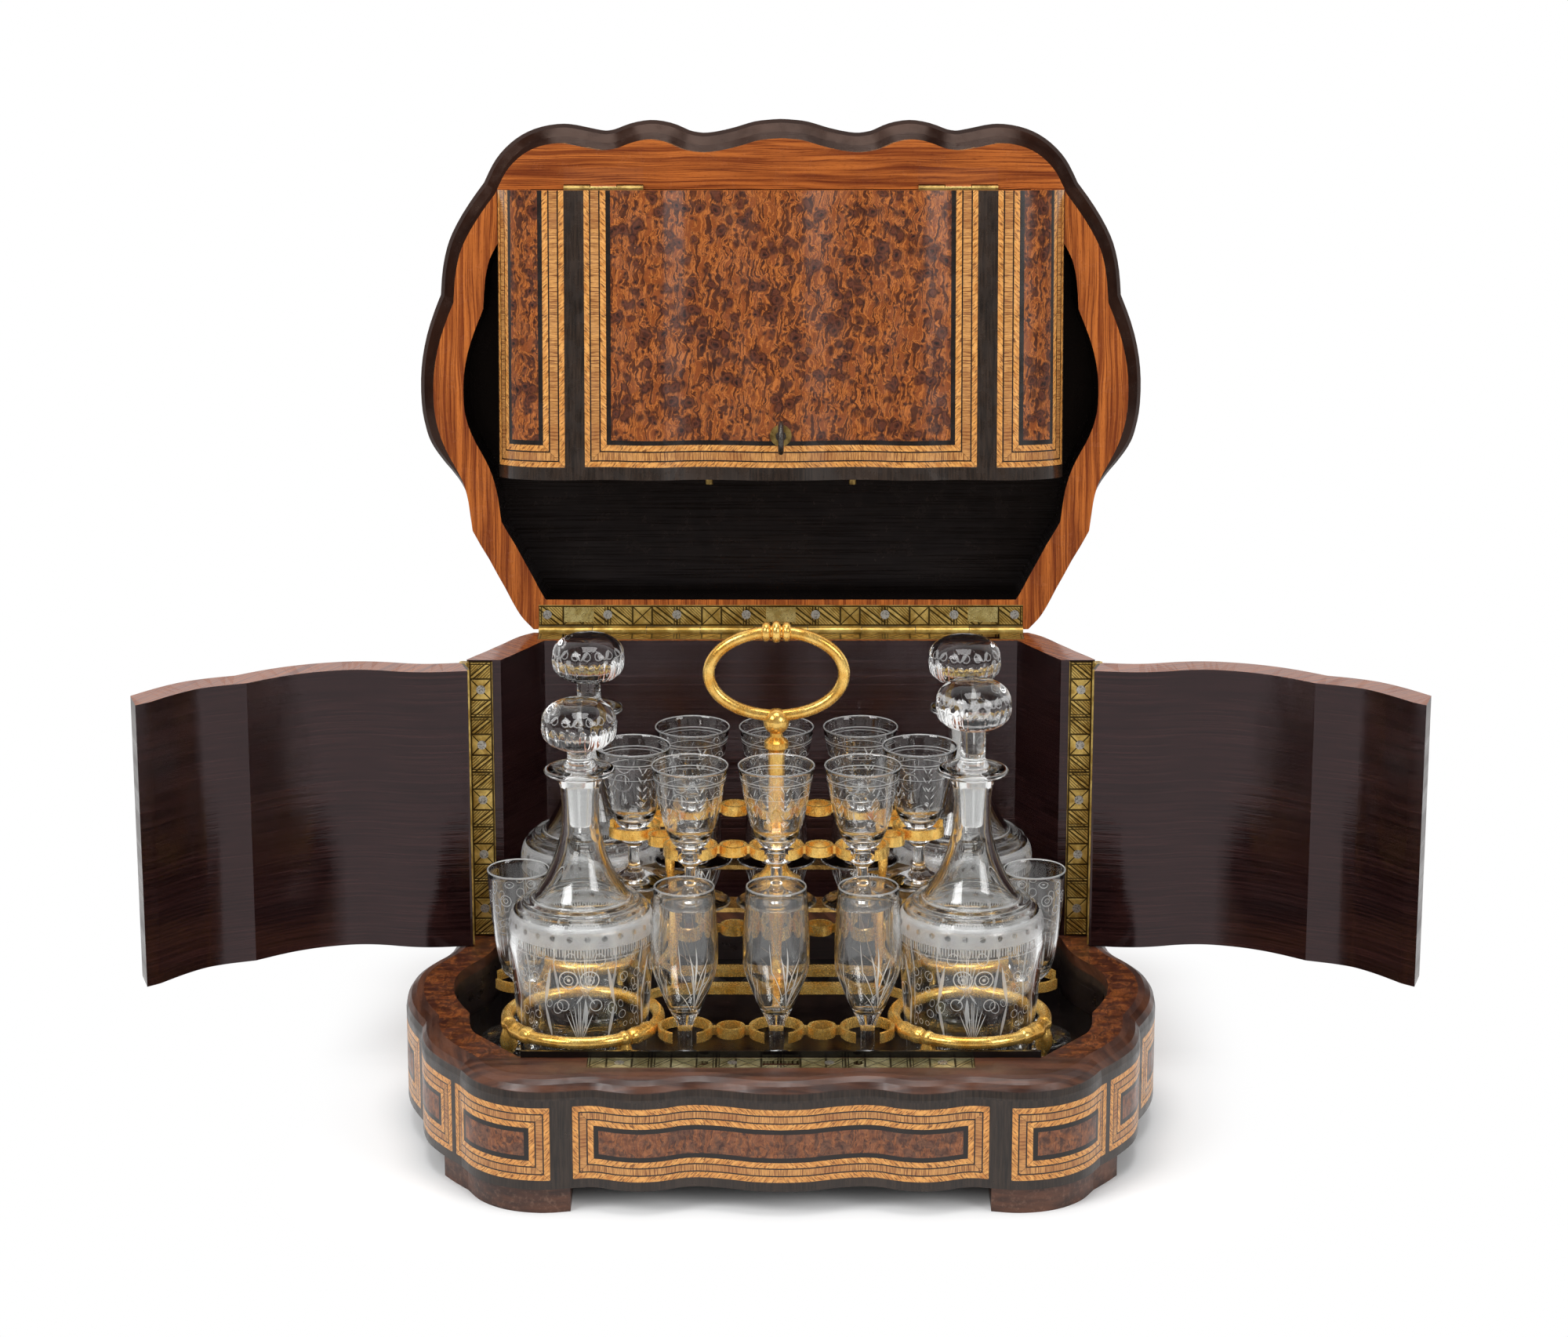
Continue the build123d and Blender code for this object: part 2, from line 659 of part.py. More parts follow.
door_zone = block(-reach_x, reach_x, back_face - door_end, pillar_y - hinge_gap - leaf_thickness,
                  door_base, door_base + door_height)
base_screws = []
pillar_leaves = []
door_pins = []
for side, sx in (("left", -1), ("right", 1)):
    axis_point = (sx * door_x, pillar_y, 0.0)
    pose = turn_about(axis_point, (0, 0, 1), sx * door_open_deg)
    half = block(*sorted((0.0, sx * reach_x)), front_reach, back_reach, 0.0, case_top + overrun)
    leaf = ring & (door_zone & half)
    leaf -= rod(door_knuckle + knuckle_relief, case_top + overrun, *axis_point)
    keep("door_" + side, leaf, pose)
    placed = Pos(sx * door_x, pillar_y, door_base) * (Rotation(0, 0, 0) if sx > 0 else Rotation(0, 0, 180))
    moving = hinge_leaf(door_height, door_knuckles, 1, door_leaf_width, door_knuckle, -sx)
    fixed = hinge_leaf(door_height, door_knuckles, 0, door_leaf_width, door_knuckle, sx)
    fixed_placed = placed * fixed
    for k in range(5):
        z = door_base + door_height * (k + 0.5) / 5
        x = sx * (door_x - door_knuckle - (door_leaf_width - door_knuckle) / 2)
        head = screw_head(x, pillar_y + hinge_gap, z, (0, -1, 0))
        fixed_placed -= head
        base_screws.append(head)
    keep("door_leaf_" + side, placed * moving, pose)
    pillar_leaves.append(fixed_placed)
    door_pins.append(rod(hinge_pin, door_height, sx * door_x, pillar_y, door_base))
keep("pillar_leaves", joined(pillar_leaves))
keep("door_pins", joined(door_pins))

for x in (-5, -1.5, 1.5, 5):
    head = screw_head(x * strike_half / 6, lock_y, rim_height, (0, 0, 1))
    strike -= head
    rim -= head
    base_screws.append(head)
keep("strike_strip", strike)
keep("plinth_rim", rim)
keep("base_screws", joined(base_screws))

# Serving tray

tray = well_shape(tray_clearance, floor_top, tray_top)
keep("serving_tray", tray)


# Stand

def at_stand(x, y, z):
    return Pos(stand_x + x, stand_y + y, tray_top + z)


def closed_ring(radius, x, y, z):
    body = Cylinder(radius, band_height) - Cylinder(radius - band_thickness, band_height + overrun)
    return Pos(x, y, z) * body


def clip(x, y, z, degrees):
    """Flat ring with an opening towards degrees."""
    body = Cylinder(clip_radius, band_height) - Cylinder(
        clip_radius - band_thickness, band_height + overrun)
    gap = Pos(clip_radius, 0, 0) * Box(2 * clip_radius, clip_opening, band_height + overrun)
    return Pos(x, y, z) * Rotation(0, 0, degrees) * (body - gap)


def link(x0, y0, x1, y1, z, width=link_width):
    length = math.dist((x0, y0), (x1, y1))
    return Pos((x0 + x1) / 2, (y0 + y1) / 2, z) * Rotation(
        0, 0, math.degrees(math.atan2(y1 - y0, x1 - x0))) * Box(length, width, band_height * 0.8)


def link_rings(one, r_one, two, r_two, z):
    """A short bar between two rings, let into both bands."""
    length = math.dist(one, two)
    ux, uy = (two[0] - one[0]) / length, (two[1] - one[1]) / length
    r_one, r_two = r_one - link_reach, r_two - link_reach
    return link(one[0] + ux * r_one, one[1] + uy * r_one, two[0] - ux * r_two, two[1] - uy * r_two, z)


ring_places = {"front_left": (-ring_x, -ring_y), "front_right": (ring_x, -ring_y),
               "back_left": (-ring_x, ring_y), "back_right": (ring_x, ring_y)}
ring_outer = ring_radius + ring_wire
lower = [Pos(x, y, lower_height) * Torus(ring_radius, ring_wire) for x, y in ring_places.values()]
for row_y, facing in ((front_row_y, -90), (back_row_y, 90)):
    sy = math.copysign(1, row_y)
    for x in (-lower_row_x, 0.0, lower_row_x):
        lower.append(clip(x, row_y, lower_height, facing))
    for sx in (-1, 1):
        x = sx * lower_row_x / 2
        lower.append(closed_ring(bead_ring_radius, x, row_y, lower_height))
        for other in (0.0, sx * lower_row_x):
            lower.append(link_rings((x, row_y), bead_ring_radius, (other, row_y), clip_radius, lower_height))
        lower.append(link_rings((sx * lower_row_x, row_y), clip_radius, (sx * ring_x, sy * ring_y),
                                ring_outer, lower_height))
        lower.append(link_rings((sx * lower_side_x, 0.0), clip_radius, (sx * ring_x, sy * ring_y),
                                ring_outer, lower_height))
        lower.append(link_rings((sx * column_x, sy * column_y), link_reach, (sx * ring_x, sy * ring_y),
                                ring_outer, lower_height))
for sx, facing in ((-1, 180), (1, 0)):
    lower.append(clip(sx * lower_side_x, 0.0, lower_height, facing))
lower.append(link(0.0, front_row_y + clip_radius - link_reach, 0.0, back_row_y - clip_radius + link_reach,
                  lower_height, bar_width))
for sy in (-1, 1):
    lower.append(link(-column_x - bar_width / 2, sy * column_y, column_x + bar_width / 2, sy * column_y,
                      lower_height, bar_width + link_width))
lower.append(rod(post_radius * 1.8, band_height * 0.8, 0, 0, lower_height - band_height * 0.4))
for (x, y) in ring_places.values():
    for share_x, share_y in leg_shares:
        lx = x + math.copysign(1, x) * ring_radius * share_x
        ly = y + math.copysign(1, y) * ring_radius * share_y
        leg = turned([(leg_radius * 1.8, 0.0), (leg_radius * 1.8, leg_radius)],
                     [(leg_radius * 1.8, leg_radius), (leg_radius, lower_height * 0.3),
                      (leg_radius * 0.8, lower_height * 0.5)],
                     [(leg_radius * 0.8, lower_height * 0.5), (leg_ball * 0.85, lower_height * 0.6),
                      (leg_ball, lower_height * 0.72), (leg_ball * 0.85, lower_height * 0.84)],
                     [(leg_ball * 0.85, lower_height * 0.84), (leg_radius, lower_height)])
        lower.append(Pos(lx, ly, 0) * leg)
        lower.append(Pos(lx, ly, lower_height) * Sphere(ring_wire * 1.25))
lower = joined(lower)

# Shelf under the feet of the upper glasses

shelf_z = shelf_height - shelf_thickness


def ring_band(x_reach, y_reach, cut, grow, z0, z1):
    """Flat eight-sided loop through the places of the upper glasses."""
    xs, ys, c = x_reach + grow, y_reach + grow, cut + grow * 0.45
    points = [(c, -ys), (xs, -ys * 0.35), (xs, ys * 0.35), (c, ys), (-c, ys), (-xs, ys * 0.35),
              (-xs, -ys * 0.35), (-c, -ys)]
    return extrude(Face(Wire.make_polygon([(x, y, z0) for x, y in points])), amount=z1 - z0,
                   dir=(0, 0, 1))


shelf = ring_band(side_x, upper_y, upper_x, shelf_width / 2, shelf_z, shelf_height)
shelf -= ring_band(side_x, upper_y, upper_x, -shelf_width / 2, shelf_z - overrun, shelf_height + overrun)
shelf += block(-bar_width / 2, bar_width / 2, -upper_y, upper_y, shelf_z, shelf_height)
shelf += rod(post_flare, shelf_thickness, 0, 0, shelf_z)

# Upper chain of open and closed rings

chain = []
upper_places = {}
for row, sy, facing in (("front", -1, -90), ("back", 1, 90)):
    for name, x in (("left", -upper_x), ("middle", 0.0), ("right", upper_x)):
        upper_places[row + "_" + name] = (x, sy * upper_y)
        chain.append(clip(x, sy * upper_y, chain_height, facing))
    for sx in (-1, 1):
        x = sx * upper_x / 2
        chain.append(closed_ring(bead_ring_radius, x, sy * upper_y, chain_height))
        for other in (0.0, sx * upper_x):
            chain.append(link_rings((x, sy * upper_y), bead_ring_radius, (other, sy * upper_y),
                                    clip_radius, chain_height))
for name, sx, facing in (("side_left", -1, 180), ("side_right", 1, 0)):
    upper_places[name] = (sx * side_x, 0.0)
    chain.append(clip(sx * side_x, 0.0, chain_height, facing))
    for sy in (-1, 1):
        corner = (sx * corner_x, sy * corner_y)
        chain.append(closed_ring(bead_ring_radius, *corner, chain_height))
        chain.append(link_rings(corner, bead_ring_radius, (sx * side_x, 0.0), clip_radius, chain_height))
        chain.append(link_rings(corner, bead_ring_radius, (sx * upper_x, sy * upper_y), clip_radius,
                                chain_height))
chain.append(link(0.0, -upper_y + clip_radius - link_reach, 0.0, upper_y - clip_radius + link_reach,
                  chain_height, bar_width))
chain.append(rod(post_radius * 1.8, band_height * 0.8, 0, 0, chain_height - band_height * 0.4))
chain = joined(chain)

# Turned columns from the lower frame through the shelf to the chain

columns = []
span = chain_height - band_height / 2
waist_z = shelf_height + foot_edge
top = span + band_height * 0.4
low = lower_height
column = turned(
    [(column_radius, low), (column_radius, low + band_height)],
    [(column_radius, low + band_height), (column_radius * 0.6, low + 2 * band_height)],
    [(column_radius * 0.6, low + 2 * band_height), (column_radius, low + 4 * band_height),
     (column_radius * 0.9, shelf_z - band_height)],
    [(column_radius * 0.9, shelf_z - band_height), (column_waist, shelf_z)],
    [(column_waist, shelf_z), (column_waist, waist_z + band_height)],
    [(column_waist, waist_z + band_height), (column_radius * 0.85, waist_z + 2 * band_height),
     (column_radius * 0.8, span - band_height / 2)],
    [(column_radius * 0.8, span - band_height / 2), (column_waist, span)],
    [(column_waist, span), (column_waist, top)])
for sx in (-1, 1):
    for sy in (-1, 1):
        x, y = sx * column_x, sy * column_y
        columns.append(Pos(x, y, 0) * column)
        shelf -= rod(column_waist, shelf_thickness * 3, x, y, shelf_z - shelf_thickness)
        chain -= rod(column_waist, band_height, x, y, top - band_height)
        lower -= rod(column_radius, band_height, x, y, lower_height)
columns = joined(columns)

# Central post, ball and carrying handle

post_top = ball_height - ball_radius * 0.8
low = lower_height
post = turned(
    [(post_radius * 1.3, low + band_height * 0.4), (post_radius * 1.3, low + band_height)],
    [(post_radius * 1.3, low + band_height), (post_radius * 0.8, low + 3 * band_height),
     (post_radius * 1.2, low + 6 * band_height), (post_radius * 0.9, shelf_z - band_height)],
    [(post_radius * 0.9, shelf_z - band_height), (post_radius * 0.9, shelf_height)],
    [(post_radius * 0.9, shelf_height), (post_flare, shelf_height)],
    [(post_flare, shelf_height), (post_flare, shelf_height + foot_edge)],
    [(post_flare, shelf_height + foot_edge), (post_flare * 0.6, shelf_height + band_height),
     (post_radius, shelf_height + 3 * band_height)],
    [(post_radius, shelf_height + 3 * band_height), (post_radius * 1.1, chain_height),
     (post_radius, post_top - 2 * band_height)],
    [(post_radius, post_top - 2 * band_height), (post_radius * 1.5, post_top - 1.6 * band_height)],
    [(post_radius * 1.5, post_top - 1.6 * band_height), (post_radius * 1.5, post_top - band_height)],
    [(post_radius * 1.5, post_top - band_height), (post_radius * 0.8, post_top - band_height / 2)],
    [(post_radius * 0.8, post_top - band_height / 2), (post_radius * 0.8, post_top)])
shelf -= rod(post_radius * 0.9, shelf_thickness * 3, 0, 0, shelf_z - shelf_thickness)
post_hole = rod(post_radius * 1.1 + pin_clearance, band_height * 2, 0, 0, chain_height - band_height)
chain -= post_hole
post += Pos(0, 0, ball_height) * Sphere(ball_radius)
oval = Edge.make_ellipse(handle_half_width, handle_half_height, Plane.XZ.offset(0.0))
oval_wire = Wire([Pos(0, 0, handle_height) * oval])
section = Plane(origin=oval_wire @ 0, z_dir=oval_wire % 0) * Circle(handle_wire)
handle = sweep(section, path=oval_wire)
handle_top = handle_height + handle_half_height
for i, share in ((-1, 1.25), (0, 1.55), (1, 1.25)):
    handle += Pos(i * handle_wire * 1.7, 0, handle_top) * Rotation(0, 90, 0) * Torus(
        handle_wire * share * 0.72, handle_wire * 0.75)
post += handle

keep("lower_frame", at_stand(0, 0, 0) * lower)
keep("shelf", at_stand(0, 0, 0) * shelf)
keep("columns", at_stand(0, 0, 0) * columns)
keep("upper_chain", at_stand(0, 0, 0) * chain)
keep("post_handle", at_stand(0, 0, 0) * post)


# Glassware: bowl shares are (share of the rim radius, share of the bowl height)

goblet_shares = [(0.44, 0.0), (0.50, 0.03), (0.72, 0.12), (0.88, 0.28), (0.94, 0.50), (0.97, 0.75),
                 (1.0, 1.0)]
flute_shares = [(0.30, 0.0), (0.50, 0.07), (0.86, 0.22), (1.07, 0.42), (1.10, 0.55), (1.06, 0.75),
                (1.0, 1.0)]
tall_shares = [(0.30, 0.0), (0.52, 0.06), (0.68, 0.20), (0.80, 0.42), (0.91, 0.70), (1.0, 1.0)]


def stemware(height, rim, foot, stem, bowl, shares, neck_runs):
    base = height - bowl
    outer = [(s * rim, base + h * bowl) for s, h in shares]
    inner = [(s * rim - glass_wall, base + h * bowl) for s, h in shares if h > 0.1]
    dip = base + bowl * 0.08
    runs = [[(foot, 0.0), (foot, foot_edge)],
            [(foot, foot_edge), (foot * 0.45, foot_edge + stem_foot_rise * 0.35),
             (stem * 1.2, stem_foot_rise), (stem, stem_foot_rise * 1.8)]]
    runs += neck_runs
    runs += [outer, [outer[-1], inner[-1]], list(reversed(inner)) + [(inner[0][0] * 0.6, dip + glass_wall * 0.3),
                                                                    (0.0, dip)]]
    return turned(*runs)


goblet_base = goblet_height - goblet_bowl
band_low = chain_height - band_height / 2 - shelf_height
collar_low = band_low - goblet_collar * 0.55
goblet = stemware(goblet_height, goblet_rim, goblet_foot, goblet_stem, goblet_bowl, goblet_shares, [
    [(goblet_stem, stem_foot_rise * 1.8), (goblet_stem, collar_low - goblet_collar * 0.5)],
    [(goblet_stem, collar_low - goblet_collar * 0.5), (goblet_collar, collar_low)],
    [(goblet_collar, collar_low), (goblet_collar, collar_low + goblet_collar * 0.3)],
    [(goblet_collar, collar_low + goblet_collar * 0.3), (goblet_neck, band_low)],
    [(goblet_neck, band_low), (goblet_neck, goblet_base - goblet_neck * 0.3)],
    [(goblet_neck, goblet_base - goblet_neck * 0.3), (goblet_rim * 0.44, goblet_base)]])
flute_base = flute_height - flute_bowl
flute = stemware(flute_height, flute_rim, flute_foot, flute_stem, flute_bowl, flute_shares, [
    [(flute_stem, stem_foot_rise * 1.8), (flute_stem, flute_base - flute_stem)],
    [(flute_stem, flute_base - flute_stem), (flute_rim * 0.30, flute_base)]])
tall_base = tall_height - tall_bowl
tall = stemware(tall_height, tall_rim, tall_foot, tall_stem, tall_bowl, tall_shares, [
    [(tall_stem, stem_foot_rise * 1.8), (tall_stem, tall_base - tall_stem)],
    [(tall_stem, tall_base - tall_stem), (tall_rim * 0.30, tall_base)]])

for name, (x, y) in upper_places.items():
    keep("goblet_" + name, at_stand(x, y, shelf_height + pin_clearance) * goblet)
for x, name in ((-lower_row_x, "left"), (0.0, "middle"), (lower_row_x, "right")):
    keep("flute_front_" + name, at_stand(x, front_row_y, 0.0) * flute)
    keep("flute_back_" + name, at_stand(x, back_row_y, 0.0) * flute)
for sx, name in ((-1, "left"), (1, "right")):
    keep("tall_glass_" + name, at_stand(sx * lower_side_x, 0.0, 0.0) * tall)

carafe_outer_shares = [(0.80, 0.0), (0.83, 0.012), (0.905, 0.19), (0.965, 0.36), (1.0, 0.47), (0.985, 0.53),
                       (0.90, 0.565)]
carafe_step_shares = [(0.90, 0.565), (0.70, 0.59), (0.66, 0.598)]
carafe_neck_shares = [(0.64, 0.60), (0.50, 0.65), (0.35, 0.73), (0.275, 0.80), (0.255, 0.87), (0.27, 0.94),
                      (0.33, 0.975)]
lip_share = 0.49
body_r, body_h = carafe_radius, carafe_height


def spread(shares, shrink=0.0):
    return [(s * body_r - shrink, h * body_h) for s, h in shares]


lip_low = carafe_height - carafe_lip_thickness
lip_radius = body_r * lip_share
neck_end = carafe_neck_shares[-1][0] * body_r
inner_body = [(r, z) for r, z in spread(carafe_outer_shares, carafe_wall) if z > carafe_wall]
inner_neck = spread(carafe_neck_shares[:3], carafe_wall)
shoulder = [(inner_body[-1][0], inner_body[-1][1] - carafe_wall),
            (inner_neck[0][0], inner_neck[0][1] - carafe_wall * 0.5)]
inner_body = inner_body[:-1] + [shoulder[0]]
hollow_top = carafe_height * 0.80
neck_run = [shoulder[1]] + inner_neck[1:] + [(carafe_bore, hollow_top)]
hollow = turned([(inner_body[0][0] * 0.97, carafe_wall * 1.4), inner_body[0]], inner_body, shoulder, neck_run,
                [(carafe_bore, hollow_top), (carafe_bore, carafe_height + overrun)])
outer_body = turned([(0.80 * body_r * 0.97, 0.0), spread(carafe_outer_shares)[1]],
                    spread(carafe_outer_shares)[1:], spread(carafe_step_shares),
                    [spread(carafe_step_shares)[-1], spread(carafe_neck_shares)[0]],
                    spread(carafe_neck_shares),
                    [(neck_end, carafe_neck_shares[-1][1] * body_h), (lip_radius, lip_low)],
                    [(lip_radius, lip_low), (lip_radius, carafe_height)])
carafe = outer_body - hollow
for name, (x, y) in ring_places.items():
    keep("carafe_" + name, at_stand(x, y, pin_clearance) * carafe)
    rise = stopper_rises[name]
    base = knob_base + rise
    stopper = turned([(peg_tip, -peg_length), (peg_radius, -peg_tip)],
                     [(peg_radius, -peg_tip), (peg_radius, seat_gap)],
                     [(peg_radius, seat_gap), (stopper_collar, seat_gap)],
                     [(stopper_collar, seat_gap), (stopper_collar * 1.02, knob_base * 0.25),
                      (stopper_neck, knob_base * 0.55)],
                     [(stopper_neck, knob_base * 0.55), (stopper_neck, base)],
                     [(stopper_neck, base), (knob_radius * 0.80, base + knob_height * 0.14),
                      (knob_radius, base + knob_height * 0.45), (knob_radius * 0.93, base + knob_height * 0.72),
                      (knob_radius * 0.60, base + knob_height * 0.93), (knob_radius * 0.2, base + knob_height)])
    keep("stopper_" + name, at_stand(x, y, carafe_height + pin_clearance) * stopper)

for name, shape in pieces.items():
    export_step(shape, "parts/" + name + ".step")
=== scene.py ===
import math

import bpy
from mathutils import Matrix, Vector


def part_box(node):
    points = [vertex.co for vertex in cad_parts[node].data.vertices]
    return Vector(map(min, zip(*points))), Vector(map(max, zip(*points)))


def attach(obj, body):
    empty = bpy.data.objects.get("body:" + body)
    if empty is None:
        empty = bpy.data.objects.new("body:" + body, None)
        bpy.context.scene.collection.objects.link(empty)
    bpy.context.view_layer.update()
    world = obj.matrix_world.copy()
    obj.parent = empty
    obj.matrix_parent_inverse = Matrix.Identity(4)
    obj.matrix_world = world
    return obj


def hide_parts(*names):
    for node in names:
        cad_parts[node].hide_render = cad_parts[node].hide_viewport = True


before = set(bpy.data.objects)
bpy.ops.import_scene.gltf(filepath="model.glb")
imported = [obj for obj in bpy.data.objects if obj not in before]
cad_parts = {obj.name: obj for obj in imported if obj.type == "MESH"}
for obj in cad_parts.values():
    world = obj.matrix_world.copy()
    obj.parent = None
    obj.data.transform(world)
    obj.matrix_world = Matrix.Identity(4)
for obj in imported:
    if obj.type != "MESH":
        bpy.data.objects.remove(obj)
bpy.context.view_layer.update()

MM = 0.001

# Sizes of the case in mm, in the frame of the CAD
half_width = 162.6
wall_depth = 229.5
back_face = 73.0
foot_height = 12.0
plinth_overhang = 7.5
lid_base = 196.6
lid_wall = 37.0
lid_height = 52.0
flap_y = -133.0
flap_bottom = 62.3
tray_top = 38.5
case_middle_y = -40.0
stand_x, stand_y = -2.0, -47.0
hinge_z = 196.3
lid_hinge_y, lid_angle = 74.0, 98.9
door_hinge_x, door_hinge_y, door_angle = 145.96, 24.5, 74.0

# Turns that bring a piece back to its closed place: axis, two centre coordinates, degrees
LID_TURNS = [("x", (lid_hinge_y, hinge_z), lid_angle)]
FLAP_TURNS = LID_TURNS + [("x", (flap_y, hinge_z), -90.0)]
RIGHT_TURNS = [("z", (door_hinge_x, door_hinge_y), -door_angle)]
LEFT_TURNS = [("z", (-door_hinge_x, door_hinge_y), door_angle)]

# Plan of the walls: x as a share of half_width, depth as a share of wall_depth
front_shares = [(0.0, 1.0), (0.0615, 0.9961), (0.1169, 0.9847), (0.1722, 0.9756),
                (0.2276, 0.9717), (0.2829, 0.9786), (0.3260, 0.9917), (0.3752, 0.9978),
                (0.4244, 0.9917), (0.4674, 0.9804), (0.5105, 0.9760), (0.5597, 0.9813),
                (0.6273, 0.9900), (0.6931, 0.9830), (0.7411, 0.9656), (0.7841, 0.9346),
                (0.8180, 0.8880)]
side_shares = [(0.8180, 0.8880), (0.8536, 0.8540), (0.8893, 0.8148), (0.9176, 0.7734),
               (0.9336, 0.7233), (0.9397, 0.6688), (0.9631, 0.6275), (0.9828, 0.5839),
               (0.9963, 0.5338), (1.0000, 0.4858), (0.9951, 0.4357), (0.9791, 0.3922),
               (0.9545, 0.3529), (0.9336, 0.3268), (0.9164, 0.3007), (0.9041, 0.2702),
               (0.8967, 0.2353), (0.8905, 0.2026), (0.8672, 0.1725), (0.8426, 0.1438),
               (0.8180, 0.1111), (0.7934, 0.0797), (0.7737, 0.0523), (0.7491, 0.0244),
               (0.7165, 0.0000)]
# Depths of the side's two creases, of the wall's return, and of the pillar's edge
crease_shares = (0.8880, 0.6688, 0.2026)
pillar_share = 0.2156


def srgb(red, green, blue):
    """Linear colour from 0-255 screen values."""
    def one(value):
        value /= 255
        return value / 12.92 if value <= 0.04045 else ((value + 0.055) / 1.055) ** 2.4
    return (one(red), one(green), one(blue))


# Arithmetic on shader sockets

class Num:
    """A number that varies over a surface."""

    def __init__(self, socket):
        self.socket = socket

    def apply(self, operation, *values, first=None):
        tree = self.socket.id_data
        node = tree.nodes.new("ShaderNodeMath")
        node.operation = operation
        order = (first, self) if first is not None else (self,) + values
        for place, value in zip(node.inputs, order):
            if isinstance(value, Num):
                tree.links.new(value.socket, place)
            else:
                place.default_value = value
        return Num(node.outputs[0])

    def __rsub__(self, other):
        return self.apply("SUBTRACT", first=other)

    def wrapped(self, period):
        """Distance to the nearest multiple of the period, signed."""
        return (self / period + 0.5).apply("FRACT") * period - period / 2


def operator(operation):
    """A method that applies the operation to a number and what it is called with."""
    return lambda number, *values: number.apply(operation, *values)


for method, operation in (("__add__", "ADD"), ("__radd__", "ADD"), ("__sub__", "SUBTRACT"),
                          ("__mul__", "MULTIPLY"), ("__rmul__", "MULTIPLY"), ("__truediv__", "DIVIDE"),
                          ("__lt__", "LESS_THAN"), ("__gt__", "GREATER_THAN"), ("__abs__", "ABSOLUTE"),
                          ("low", "MINIMUM"), ("high", "MAXIMUM"), ("power", "POWER")):
    setattr(Num, method, operator(operation))


def most(*masks):
    """The greatest of some numbers, place by place."""
    out = masks[0]
    for mask in masks[1:]:
        out = out.high(mask)
    return out


